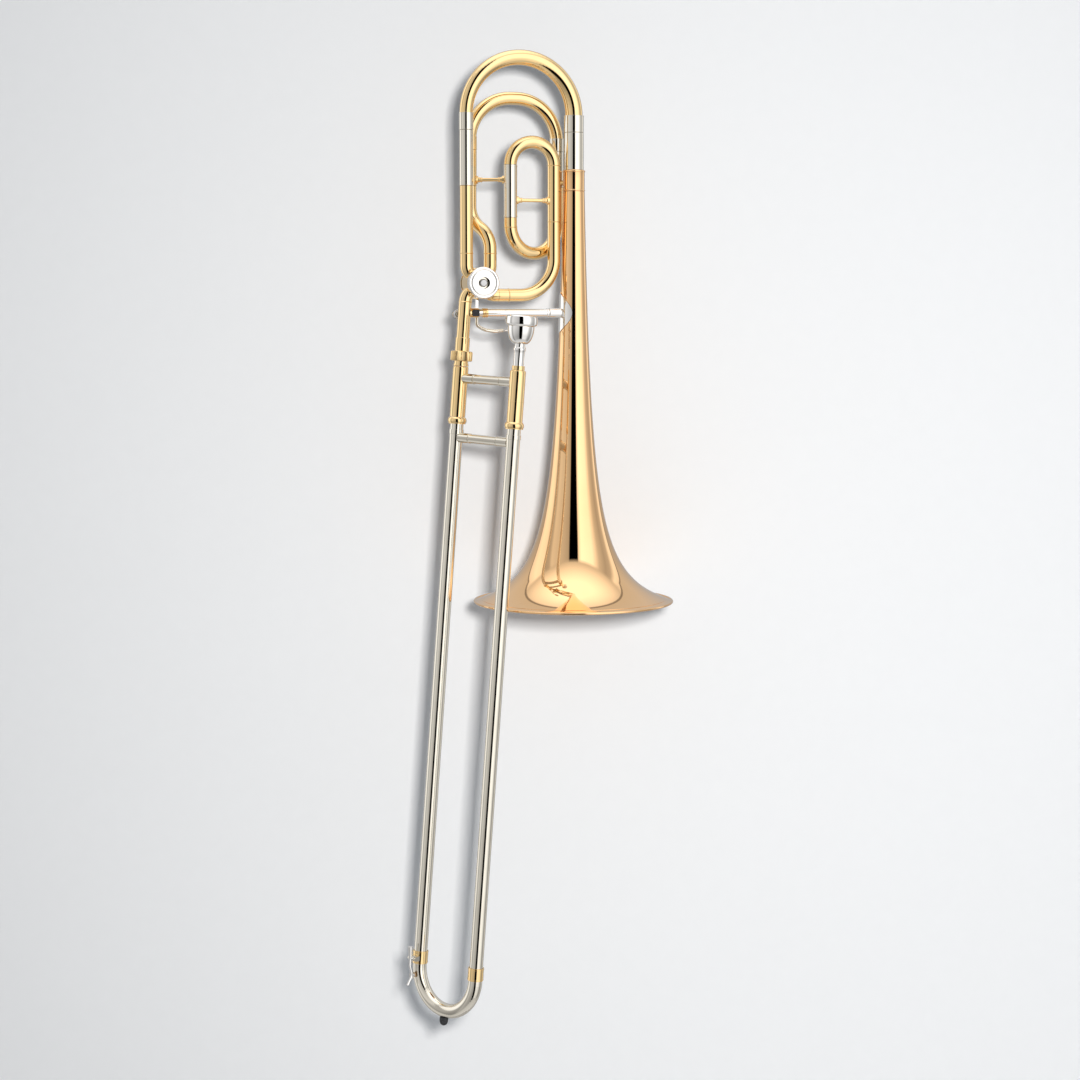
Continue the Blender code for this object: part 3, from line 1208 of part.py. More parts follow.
def build_water_key(crook):
    """Saddle on the ferrule, nipple on the crook, and the sprung key with its cork."""
    hinge = key_point(KEY_HINGE_HEIGHT, KEY_HINGE_AT)
    bend = SLIDE_SPACING / 2
    drift = bend - math.sqrt(bend ** 2 - (KEY_CUP_AT - SLIDE_CROOK_AT) ** 2)
    nipple_top = SLIDE_CROOK_RADIUS + NIPPLE_HEIGHT
    cup_at = Vector((drift, 0, KEY_CUP_AT))
    out = Y
    join(crook, bar(
        "nipple", cup_at + out * (SLIDE_CROOK_RADIUS - SLIDE_CROOK_WALL / 2),
        cup_at + out * nipple_top,
        NIPPLE_RADIUS, SLIDE_FRAME, side_axis=X))
    cut(crook, bar(
        "nipple_bore", cup_at + out * (SLIDE_CROOK_RADIUS - NIPPLE_RADIUS),
        cup_at + out * (nipple_top + NIPPLE_HEIGHT), NIPPLE_BORE, SLIDE_FRAME,
        side_axis=X))
    low = nipple_top + GAP
    high = low + KEY_CORK_THICKNESS
    turned(
        "water_key_cork", rod_profile([(NIPPLE_RADIUS, KEY_CORK_THICKNESS)]),
        SLIDE_FRAME @ frame(cup_at + out * low, out, X), "cork")
    matrix = SLIDE_FRAME @ frame(hinge, X, out)
    half = KEY_HUB_LENGTH / 2
    key = turned(
        "water_key", ring_profile(-half, half, KEY_HUB_RADIUS, KEY_PIN_RADIUS + GAP), matrix,
        "silver_plate", 12)
    cup = SLIDE_FRAME @ frame(cup_at + out * (high + GAP), out, X)
    join(key, turned("key_cup", rod_profile([(KEY_CUP_RADIUS, KEY_CUP_THICKNESS)]), cup, None))
    rod_height = KEY_HINGE_HEIGHT + KEY_PIN_RADIUS + KEY_ROD_RADIUS + 2 * GAP
    start = key_point(rod_height, KEY_HINGE_AT)
    top = key_point(high + KEY_CUP_THICKNESS / 2, KEY_CUP_AT) + Vector((drift, 0, 0))
    tail = key_point(high + KEY_TAIL_RISE, KEY_CUP_AT + KEY_TAIL) + Vector((drift, 0, 0))
    corner = key_point(rod_height, KEY_HINGE_AT + KEY_SHOULDER)
    join(key, pipe(
        "key_rod", [start, corner, top, tail], [KEY_ROD_BEND, KEY_ROD_BEND],
        KEY_ROD_RADIUS, SLIDE_FRAME,
        None, 0, 8))
    touch = key_point(rod_height + KEY_ROD_RADIUS, KEY_TOUCH_AT)
    join(key, pipe(
        "key_touch", [start, touch], [], (KEY_ROD_RADIUS, KEY_ROD_RADIUS * 1.9), SLIDE_FRAME,
        None, 0, 8))
    ferrule = SLIDE_CROOK_RADIUS + GAP + CROOK_FERRULE_WALL
    outer_half = half + GAP + KEY_POST_WIDTH
    base = ferrule - SADDLE_SINK
    posts = plate(
        "water_key_saddle",
        [(base, -SADDLE_FOOT / 2), (KEY_HINGE_HEIGHT, -KEY_HUB_RADIUS),
         (KEY_HINGE_HEIGHT + SADDLE_CAP, 0), (KEY_HINGE_HEIGHT, KEY_HUB_RADIUS),
         (base, SADDLE_FOOT / 2)],
        -outer_half, outer_half, SLIDE_FRAME @ frame(Vector((0, 0, KEY_HINGE_AT)), X, out),
        "nickel_silver")
    slot = plate(
        "saddle_slot",
        [(ferrule + SADDLE_FLOOR, -SADDLE_FOOT), (KEY_HINGE_HEIGHT + SADDLE_FOOT, -SADDLE_FOOT),
         (KEY_HINGE_HEIGHT + SADDLE_FOOT, SADDLE_FOOT), (ferrule + SADDLE_FLOOR, SADDLE_FOOT)],
        -half - GAP, half + GAP, SLIDE_FRAME @ frame(Vector((0, 0, KEY_HINGE_AT)), X, out), None)
    cut(posts, slot)
    join(posts, bar(
        "saddle_pin", hinge - X * (half + KEY_POST_WIDTH), hinge + X * (half + KEY_POST_WIDTH),
        KEY_PIN_RADIUS, SLIDE_FRAME, 12))
    cut(posts, bar(
        "saddle_seat", Vector((0, 0, KEY_HINGE_AT - SADDLE_FOOT)),
        Vector((0, 0, KEY_HINGE_AT + SADDLE_FOOT)), ferrule + GAP, SLIDE_FRAME))


def clear_scene():
    for item in list(bpy.data.objects):
        bpy.data.objects.remove(item, do_unlink=True)


def main():
    clear_scene()
    build_bell()
    build_neckpipe()
    build_tuning_slide()
    build_casing()
    build_rotor()
    build_valve_cap()
    build_knuckles()
    build_stop_arm()
    build_stop_bumpers()
    build_thumb_lever()
    build_link()
    build_lever_post()
    build_f_tubing()
    build_f_slide()
    build_stays()
    build_bell_brace()
    build_gooseneck()
    build_inner_slide()
    crook = build_outer_slide()
    build_mouthpiece()
    build_water_key(crook)


main()
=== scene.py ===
"""Bass trombone with one rotary valve, upright before a pale wall, as a product picture.

Lengths are in millimetres unless a name ends in _M. Heights are above the valve's centre, and
only the bell's are heights of the shared frame. NECK is the point of the neckpipe's axis level
with that centre, and places along the hand slide are distances down the slide's axis from it.
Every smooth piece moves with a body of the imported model. Most stand for nodes of it, and the
rest are thin trim.
"""

import json
import math

import bmesh
import bpy
from mathutils import Matrix, Quaternion, Vector

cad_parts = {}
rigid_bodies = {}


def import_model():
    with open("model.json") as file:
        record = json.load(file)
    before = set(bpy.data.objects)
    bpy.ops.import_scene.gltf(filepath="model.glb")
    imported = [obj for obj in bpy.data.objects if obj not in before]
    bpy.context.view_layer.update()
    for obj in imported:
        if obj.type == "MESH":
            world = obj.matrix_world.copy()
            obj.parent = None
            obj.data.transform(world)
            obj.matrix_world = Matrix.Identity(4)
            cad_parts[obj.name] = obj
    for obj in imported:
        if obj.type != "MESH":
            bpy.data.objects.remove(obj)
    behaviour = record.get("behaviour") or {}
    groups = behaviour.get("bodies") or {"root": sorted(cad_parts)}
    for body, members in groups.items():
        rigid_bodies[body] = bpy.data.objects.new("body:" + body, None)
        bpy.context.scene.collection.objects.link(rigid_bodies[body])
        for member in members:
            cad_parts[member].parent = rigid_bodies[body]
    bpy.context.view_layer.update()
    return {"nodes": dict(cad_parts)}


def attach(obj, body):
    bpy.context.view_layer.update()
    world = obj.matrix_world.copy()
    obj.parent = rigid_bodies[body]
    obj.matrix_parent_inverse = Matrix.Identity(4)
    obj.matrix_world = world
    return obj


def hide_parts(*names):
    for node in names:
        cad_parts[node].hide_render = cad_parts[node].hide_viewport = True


for leftover in list(bpy.data.objects):
    bpy.data.objects.remove(leftover, do_unlink=True)
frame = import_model()

TO_METRES = Matrix.Scale(0.001, 4)
X = Vector((1, 0, 0))
Y = Vector((0, 1, 0))
Z = Vector((0, 0, 1))
NECK = Vector((-133, 0, 273.4))
VALVE_X = 14.5
VALVE = NECK + X * VALVE_X
RIM_HEIGHT = -110.0
LEAN = math.radians(4.25)
SWING = math.radians(31.7)
SLIDE_AXIS = Vector((-math.sin(LEAN), 0, -math.cos(LEAN)))
SLIDE_SIDE = Vector((math.cos(LEAN), 0, -math.sin(LEAN)))
SLIDE_ACROSS = SLIDE_SIDE * math.sin(SWING) - Y * math.cos(SWING)
SLIDE_SPACING = 90.0

TUBE_RADIUS = 7.75
LEG_RADIUS = 8.05
SLEEVE_RADIUS = 8.2
BELL_SLEEVE_RADIUS = 11.7
BELL_FERRULE_RADIUS = 13.5
SLEEVE_TOP = 178.5
F_SLEEVE_LOW = 115.0
F_SLEEVE_TOP = 157.0
F_SLIDE_X = 10.0
F_SLIDE_WIDTH = 108.0
F_SLIDE_BACK = 20.0
LOOP_LEG_X = 54.0
OUT_TUBE_X = 108.0
OUT_TUBE_DROP = -14.0
RETURN_TUBE_X = 2 * VALVE_X
ELBOW_END = 34.8
STRUT_DROP = 35.0
BARREL_RADIUS = 9.3

TUBE_SIDES = 48
BEND_STEP = 4.0


# Frames

def axes(origin, z_axis, x_axis):
    """Matrix of a frame at origin with its Z along z_axis and its X towards x_axis."""
    along = z_axis.normalized()
    across = (x_axis - along * x_axis.dot(along)).normalized()
    matrix = Matrix((across, along.cross(across), along)).transposed().to_4x4()
    matrix.translation = origin
    return matrix


WORLD = Matrix.Identity(4)
VALVE_FRAME = axes(VALVE, Y, X)
GOOSENECK_FRAME = axes(NECK, SLIDE_AXIS, SLIDE_SIDE)
LEFT_LEG = axes(NECK, SLIDE_AXIS, SLIDE_ACROSS)
RIGHT_LEG = axes(NECK + SLIDE_ACROSS * SLIDE_SPACING, SLIDE_AXIS, SLIDE_ACROSS)
NECK_FRAME = axes(NECK, Z, X)
BELL_FRAME = axes(Vector((0, 0, NECK.z)), Z, X)


def at(x, y, z):
    """Place x from the neckpipe's axis, y back and z above the valve's centre."""
    return NECK + Vector((x, y, z))


# Materials

def new_group(name, outputs):
    """Empty node group with its output sockets. Returns the group and its output node."""
    group = bpy.data.node_groups.new(name, "ShaderNodeTree")
    for socket, kind in outputs:
        group.interface.new_socket(socket, in_out="OUTPUT", socket_type=kind)
    return group, group.nodes.new("NodeGroupOutput")


def group_input(group, name, kind, value):
    socket = group.interface.new_socket(name, in_out="INPUT", socket_type=kind)
    socket.default_value = value


def math_node(tree, operation, first, second):
    """Math node with its two inputs given as sockets or numbers. Returns its output."""
    node = tree.nodes.new("ShaderNodeMath")
    node.operation = operation
    for spot, value in enumerate((first, second)):
        if isinstance(value, float):
            node.inputs[spot].default_value = value
        else:
            tree.links.new(value, node.inputs[spot])
    return node.outputs["Value"]


def noise(tree, vector, scale, detail=4.0, roughness=0.55):
    node = tree.nodes.new("ShaderNodeTexNoise")
    node.inputs["Scale"].default_value = scale
    node.inputs["Detail"].default_value = detail
    node.inputs["Roughness"].default_value = roughness
    tree.links.new(vector, node.inputs["Vector"])
    return node.outputs["Fac"]


def spread_range(tree, value, low, high, to_low, to_high):
    """Map a socket's values from one range to another and hold them at its ends."""
    node = tree.nodes.new("ShaderNodeMapRange")
    tree.links.new(value, node.inputs["Value"])
    for socket, number in (
            ("From Min", low), ("From Max", high), ("To Min", to_low), ("To Max", to_high)):
        node.inputs[socket].default_value = number
    return node.outputs["Result"]


def mix_colours(tree, factor, first, second):
    """Mix two sockets by a factor. The second may be a plain level of grey."""
    node = tree.nodes.new("ShaderNodeMix")
    node.data_type = "RGBA"
    tree.links.new(factor, node.inputs[0])
    tree.links.new(first, node.inputs[6])
    if isinstance(second, float):
        node.inputs[7].default_value = (second, second, second, 1)
    else:
        tree.links.new(second, node.inputs[7])
    return node.outputs[2]


def metal_group():
    """Polished metal: clouded tone, fine specks, drawn lines along the tubes and smudges."""
    group, output = new_group("polished_metal", [
        ("Base Color", "NodeSocketColor"), ("Roughness", "NodeSocketFloat"),
        ("Normal", "NodeSocketVector")])
    group_input(group, "Tone", "NodeSocketColor", (0.8, 0.6, 0.3, 1))
    group_input(group, "Deep Tone", "NodeSocketColor", (0.6, 0.4, 0.2, 1))
    group_input(group, "Polish", "NodeSocketFloat", 0.12)
    group_input(group, "Wear", "NodeSocketFloat", 0.5)
    entry = group.nodes.new("NodeGroupInput")
    place = group.nodes.new("ShaderNodeTexCoord").outputs["Object"]
    clouds = noise(group, place, 14.0, 3.0)
    specks = noise(group, place, 900.0, 2.0)
    smudges = noise(group, place, 55.0, 5.0, 0.65)
    stretch = group.nodes.new("ShaderNodeMapping")
    stretch.inputs["Scale"].default_value = (1900.0, 1900.0, 45.0)
    group.links.new(place, stretch.inputs["Vector"])
    lines = noise(group, stretch.outputs["Vector"], 1.0, 2.0)
    cloud_share = spread_range(group, clouds, 0.42, 0.68, 0.0, 0.55)
    speck_share = spread_range(group, specks, 0.66, 0.78, 0.0, 0.8)
    share = math_node(group, "MAXIMUM", cloud_share, speck_share)
    share = math_node(group, "MULTIPLY", share, entry.outputs["Wear"])
    colour = mix_colours(group, share, entry.outputs["Tone"], entry.outputs["Deep Tone"])
    smudge_share = spread_range(group, smudges, 0.48, 0.72, 0.0, 0.12)
    line_share = spread_range(group, lines, 0.35, 0.75, 0.0, 0.05)
    haze = math_node(group, "ADD", smudge_share, line_share)
    haze = math_node(group, "MULTIPLY", haze, entry.outputs["Wear"])
    roughness = math_node(group, "ADD", haze, entry.outputs["Polish"])
    relief = math_node(group, "ADD", lines, smudges)
    bump = group.nodes.new("ShaderNodeBump")
    bump.inputs["Strength"].default_value = 0.05
    bump.inputs["Distance"].default_value = 0.00005
    group.links.new(relief, bump.inputs["Height"])
    group.links.new(colour, output.inputs["Base Color"])
    group.links.new(roughness, output.inputs["Roughness"])
    group.links.new(bump.outputs["Normal"], output.inputs["Normal"])
    return group


def soft_group():
    """Dull soft stuff: mottled tone, grains and pores."""
    group, output = new_group("soft_stuff", [
        ("Base Color", "NodeSocketColor"), ("Roughness", "NodeSocketFloat"),
        ("Normal", "NodeSocketVector")])
    group_input(group, "Tone", "NodeSocketColor", (0.03, 0.03, 0.03, 1))
    group_input(group, "Deep Tone", "NodeSocketColor", (0.01, 0.01, 0.01, 1))
    entry = group.nodes.new("NodeGroupInput")
    place = group.nodes.new("ShaderNodeTexCoord").outputs["Object"]
    grains = noise(group, place, 700.0, 5.0, 0.7)
    pores = group.nodes.new("ShaderNodeTexVoronoi")
    pores.inputs["Scale"].default_value = 1500.0
    group.links.new(place, pores.inputs["Vector"])
    share = spread_range(group, grains, 0.35, 0.7, 0.0, 1.0)
    colour = mix_colours(group, share, entry.outputs["Tone"], entry.outputs["Deep Tone"])
    roughness = spread_range(group, grains, 0.2, 0.8, 0.55, 0.85)
    relief = math_node(group, "ADD", grains, pores.outputs["Distance"])
    bump = group.nodes.new("ShaderNodeBump")
    bump.inputs["Strength"].default_value = 0.35
    bump.inputs["Distance"].default_value = 0.0002
    group.links.new(relief, bump.inputs["Height"])
    group.links.new(colour, output.inputs["Base Color"])
    group.links.new(roughness, output.inputs["Roughness"])
    group.links.new(bump.outputs["Normal"], output.inputs["Normal"])
    return group


METAL = metal_group()
SOFT = soft_group()


def surface(name, group, values, metallic, coat=0.0):
    """Material whose colour, roughness and relief come from a group with these inputs."""
    material = bpy.data.materials.new("finish_" + name)
    material.use_nodes = True
    tree = material.node_tree
    shader = tree.nodes["Principled BSDF"]
    shader.inputs["Metallic"].default_value = metallic
    shader.inputs["Coat Weight"].default_value = coat
    shader.inputs["Coat Roughness"].default_value = 0.06
    stuff = tree.nodes.new("ShaderNodeGroup")
    stuff.node_tree = group
    for socket, value in values.items():
        stuff.inputs[socket].default_value = value
    for socket in ("Base Color", "Roughness", "Normal"):
        tree.links.new(stuff.outputs[socket], shader.inputs[socket])
    return material


def metal(name, tone, deep_tone, polish, wear, coat=0.0):
    values = {"Tone": (*tone, 1), "Deep Tone": (*deep_tone, 1), "Polish": polish, "Wear": wear}
    return surface(name, METAL, values, 1.0, coat)


def soft(name, tone, deep_tone):
    return surface(name, SOFT, {"Tone": (*tone, 1), "Deep Tone": (*deep_tone, 1)}, 0.0)


FINISHES = {
    "yellow_brass": metal("yellow_brass", (0.94, 0.68, 0.34), (0.80, 0.48, 0.15), 0.02, 0.3, 0.4),
    "gold_brass": metal("gold_brass", (0.94, 0.60, 0.31), (0.80, 0.44, 0.18), 0.02, 0.3, 0.2),
    "nickel_silver": metal("nickel_silver", (0.80, 0.75, 0.65), (0.62, 0.56, 0.46), 0.04, 0.5),
    "silver_plate": metal("silver_plate", (0.88, 0.86, 0.83), (0.72, 0.68, 0.64), 0.03, 0.4),
    "steel": metal("steel", (0.60, 0.60, 0.61), (0.38, 0.36, 0.34), 0.22, 1.0),
    "black_rubber": soft("black_rubber", (0.035, 0.035, 0.037), (0.012, 0.012, 0.013)),
    "cork": soft("cork", (0.56, 0.37, 0.21), (0.30, 0.18, 0.09)),
}


# Shapes

def settle(name, shape, matrix, slot, body, nodes=(), sharp=38):
    """Turn a bmesh in millimetres into a piece that rides on a body and stands for nodes."""
    bmesh.ops.remove_doubles(shape, verts=shape.verts, dist=0.0005)
    bmesh.ops.transform(shape, matrix=TO_METRES @ matrix, verts=shape.verts)
    bmesh.ops.recalc_face_normals(shape, faces=shape.faces)
    mesh = bpy.data.meshes.new(name)
    shape.to_mesh(mesh)
    shape.free()
    mesh.shade_smooth()
    mesh.set_sharp_from_angle(angle=math.radians(sharp))
    mesh.materials.append(FINISHES[slot])
    piece = bpy.data.objects.new(name, mesh)
    bpy.context.scene.collection.objects.link(piece)
    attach(piece, body)
    if nodes:
        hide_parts(*nodes)
    return piece


def spin_profile(shape, profile, sides, soften):
    """Spin (radius, height) points about Z, with their corners rounded first."""
    points = [shape.verts.new((radius, 0, height)) for radius, height in profile]
    for point, following in zip(points, points[1:] + points[:1]):
        if point.co.x > 0 or following.co.x > 0:
            shape.edges.new((point, following))
    if soften:
        bmesh.ops.bevel(
            shape, geom=[point for point in points if point.co.x > 0], offset=soften,
            offset_type="OFFSET", segments=2, profile=0.5, affect="VERTICES",
            clamp_overlap=True, material=-1)
    bmesh.ops.spin(
        shape, geom=shape.verts[:] + shape.edges[:], cent=(0, 0, 0), axis=(0, 0, 1),
        angle=math.tau, steps=sides, use_merge=True)


def turn(name, profile, matrix, slot, body, nodes=(), sides=64, soften=0.25):
    """Body turned about the frame's Z."""
    shape = bmesh.new()
    spin_profile(shape, profile, sides, soften)
    return settle(name, shape, matrix, slot, body, nodes, sharp=22)


def rod(spans):
    """Profile of a solid rod from (radius, length) spans laid end to end."""
    profile = [(0, 0)]
    height = 0
    for radius, length in spans:
        profile.append((radius, height))
        height += length
        profile.append((radius, height))
    return profile + [(0, height)]


def band(low, high, outer, inner):
    return [(outer, low), (outer, high), (inner, high), (inner, low)]


def route(corners, bends):
    """Points and headings along straight runs between corners rounded by arcs."""
    stations = [(corners[0], (corners[1] - corners[0]).normalized())]
    for before, corner, after, radius in zip(corners, corners[1:], corners[2:], bends):
        arrive = (corner - before).normalized()
        leave = (after - corner).normalized()
        turn_angle = arrive.angle(leave)
        start = corner - arrive * radius * math.tan(turn_angle / 2)
        axis = arrive.cross(leave).normalized()
        centre = start + axis.cross(arrive) * radius
        steps = max(2, round(math.degrees(turn_angle) / BEND_STEP))
        for step in range(steps + 1):
            spin = Quaternion(axis, turn_angle * step / steps)
            place = centre + spin @ (start - centre)
            if (place - stations[-1][0]).length > 0.01:
                stations.append((place, spin @ arrive))
    if (corners[-1] - stations[-1][0]).length > 0.01:
        stations.append((corners[-1], (corners[-1] - corners[-2]).normalized()))
    return stations


def ring_frames(stations):
    """A frame at each station, turned from one to the next without twist."""
    heading = stations[0][1]
    across = heading.orthogonal().normalized()
    frames = []
    for place, next_heading in stations:
        across = heading.rotation_difference(next_heading) @ across
        heading = next_heading
        frames.append(axes(place, heading, across))
    return frames


def radii_along(stations, ends):
    """Radius at each station, running evenly from one end's radius to the other's."""
    reach = [0.0]
    for (place, _), (next_place, _) in zip(stations, stations[1:]):
        reach.append(reach[-1] + (next_place - place).length)
    return [ends[0] + (ends[1] - ends[0]) * length / reach[-1] for length in reach]


def sweep(shape, stations, radii, wall, sides):
    """Extrude a disc, or a ring with a wall, from station to station."""
    frames = ring_frames(stations)
    if wall:
        for radius in (radii[0], radii[0] - wall):
            bmesh.ops.create_circle(shape, segments=sides, radius=radius, matrix=frames[0])
        faces = bmesh.ops.bridge_loops(shape, edges=shape.edges[:])["faces"]
    else:
        bmesh.ops.create_circle(
            shape, cap_ends=True, segments=sides, radius=radii[0], matrix=frames[0])
        faces = shape.faces[:]
    for spot in range(1, len(frames)):
        grown = bmesh.ops.extrude_face_region(shape, geom=faces)["geom"]
        faces = [part for part in grown if isinstance(part, bmesh.types.BMFace)]
        verts = [part for part in grown if isinstance(part, bmesh.types.BMVert)]
        scale = radii[spot] / radii[spot - 1]
        move = frames[spot] @ Matrix.Diagonal((scale, scale, 1, 1)) @ frames[spot - 1].inverted()
        bmesh.ops.transform(shape, matrix=move, verts=verts)


def tube(name, corners, bends, radius, matrix, slot, body, nodes=(), wall=0.6,
         sides=TUBE_SIDES):
    """Tube through rounded corners, of one radius or tapering between two."""
    ends = radius if isinstance(radius, tuple) else (radius, radius)
    stations = route(corners, bends)
    shape = bmesh.new()
    sweep(shape, stations, radii_along(stations, ends), wall, sides)
    return settle(name, shape, matrix, slot, body, nodes)


def seam(name, place, along):
    """Thin raised ring where two tubes join, undercut so that it draws a line."""
    bore = TUBE_RADIUS - 0.3
    crest = TUBE_RADIUS + 0.6
    ring = [(TUBE_RADIUS + 0.05, -0.6), (crest, 0.2), (crest, 0.5), (bore, 0.5), (bore, -0.6)]
    turn("seam_" + name, ring, axes(place, along, Y + X), "yellow_brass", ROOT, soften=0.06)


# Bell section

ROOT = "bell_section"
BELL_RADIUS = 119.05
BELL_WALL = 0.6
BEAD_RADIUS = 1.6
FLARE_HEIGHT = 490.8
FLARE_REACH = 30.0
FLARE_POWER = 0.775
BELL_TOP = RIM_HEIGHT + 492.4


def flare_radius(height):
    """Outer radius of the bell at a height above its rim bead's centre."""
    return BELL_RADIUS * (FLARE_REACH / (height + FLARE_REACH)) ** FLARE_POWER


def make_bell():
    stations = 72
    growth = 1 + FLARE_HEIGHT / FLARE_REACH
    heights = [FLARE_REACH * (growth ** (spot / stations) - 1) for spot in range(stations, 0, -1)]
    low = RIM_HEIGHT + BEAD_RADIUS
    outside = [(flare_radius(height), low + height) for height in heights]
    inside = []
    for height in heights:
        slope = -FLARE_POWER * flare_radius(height) / (height + FLARE_REACH)
        length = math.hypot(1, slope)
        inside.append((
            flare_radius(height) - BELL_WALL / length, low + height + BELL_WALL * slope / length))
    bead = [
        (BELL_RADIUS + BEAD_RADIUS * math.cos(math.radians(angle)),
         low + BEAD_RADIUS * math.sin(math.radians(angle)))
        for angle in range(150, -151, -20)]
    neck_bore = BELL_SLEEVE_RADIUS - BELL_WALL
    profile = (
        [(BELL_SLEEVE_RADIUS, BELL_TOP + 8), (BELL_SLEEVE_RADIUS, BELL_TOP)] + outside + bead
        + inside[::-1] + [(neck_bore, BELL_TOP - BELL_WALL), (neck_bore, BELL_TOP + 8)])
    turn("bell_flare", profile, WORLD, "gold_brass", ROOT, ["bell"], sides=160, soften=0)
    turn("bell_rim_solder", band(low + 2.4, low + 3.0, flare_radius(2.7) + 0.12,
                                 flare_radius(2.7) - 0.4),
         WORLD, "gold_brass", ROOT, sides=160, soften=0.08)


def make_sleeves():
    low = BELL_TOP + 0.3 - NECK.z
    top = low + 25.2
    turn(
        "bell_ferrule",
        [(12.9, low), (13.4, low + 0.5), (13.4, low + 1.6), (13.0, low + 2.0), (13.0, top - 2.6),
         (BELL_FERRULE_RADIUS, top - 2.2), (BELL_FERRULE_RADIUS, top - 0.9), (12.6, top),
         (12.0, top), (12.0, low)],
        BELL_FRAME, "gold_brass", ROOT, ["bell_side_sleeve"])
    turn("bell_sleeve", band(top + 0.1, SLEEVE_TOP, BELL_SLEEVE_RADIUS, 11.15), BELL_FRAME,
         "nickel_silver", ROOT)
    low = SLEEVE_TOP - 64.5
    bore = SLEEVE_RADIUS - 0.55
    turn("neck_sleeve", band(low, SLEEVE_TOP, SLEEVE_RADIUS, bore), NECK_FRAME, "nickel_silver",
         ROOT, ["neck_side_sleeve"])
    tube("neck_tube", [at(0, 0, ELBOW_END + 0.3), at(0, 0, low - 0.3)], [], TUBE_RADIUS, WORLD,
         "yellow_brass", ROOT, ["neckpipe"])
    turn("neck_sleeve_ring", band(low + 0.1, low + 1.0, 8.5, 7.9), NECK_FRAME, "nickel_silver",
         ROOT, soften=0.12)
    for x, side, slot in (
            (F_SLIDE_X + F_SLIDE_WIDTH, "bell", "nickel_silver"),
            (F_SLIDE_X, "neck", "yellow_brass")):
        matrix = axes(at(x, F_SLIDE_BACK, 0), Z, X)
        turn("valve_sleeve_" + side, band(F_SLEEVE_LOW, F_SLEEVE_TOP, SLEEVE_RADIUS, bore),
             matrix, slot, ROOT, ["f_sleeve_" + side])
        turn("valve_sleeve_ring_" + side, band(F_SLEEVE_LOW + 0.1, F_SLEEVE_LOW + 1.0, 8.5, 7.9),
             matrix, slot, ROOT, soften=0.12)


def make_leg(name, node, matrix, body, crook, sleeve, top, ferrule, length,
             slot="nickel_silver"):
    """Inner leg of a tuning slide with the ferrule that holds the crook's end."""
    leg = sleeve - 0.85
    bore = leg - 0.55
    socket = crook + 0.3
    outer = max(socket + 0.4, sleeve)
    low = top + 0.3
    high = low + ferrule
    turn(
        name,
        [(leg, low - length), (leg, low), (outer, low), (outer, high), (socket, high),
         (socket, high - 8.0), (bore, high - 8.0), (bore, low - length)],
        matrix, slot, body, [node])
    for place in (low + 0.1, high - 0.9):
        turn(f"{name}_line_{place:.0f}", band(place, place + 0.8, outer + 0.18, outer - 0.3),
             matrix, slot, body, soften=0.1)


def make_tuning_slide():
    body = "tuning_slide"
    width = -NECK.x
    bend = width / 2
    ferrule = 20.0
    neck_end = 7.8
    bell_end = 10.55
    leg = 42.0
    low = SLEEVE_TOP + ferrule - 8.0 + 0.6
    top = SLEEVE_TOP + ferrule + bend
    corners = [Vector((x, 0, z)) for x, z in ((0, low), (0, top), (width, top), (width, low))]
    tube("tuning_bow", corners, [bend, bend], (neck_end, bell_end), NECK_FRAME, "yellow_brass",
         body, ["tuning_crook"], sides=64)
    make_leg("tuning_inner_neck", "tuning_leg_neck", NECK_FRAME, body, neck_end, SLEEVE_RADIUS,
             SLEEVE_TOP, ferrule, leg)
    make_leg("tuning_inner_bell", "tuning_leg_bell", BELL_FRAME, body, bell_end,
             BELL_SLEEVE_RADIUS, SLEEVE_TOP, ferrule, leg)


# Rotary valve

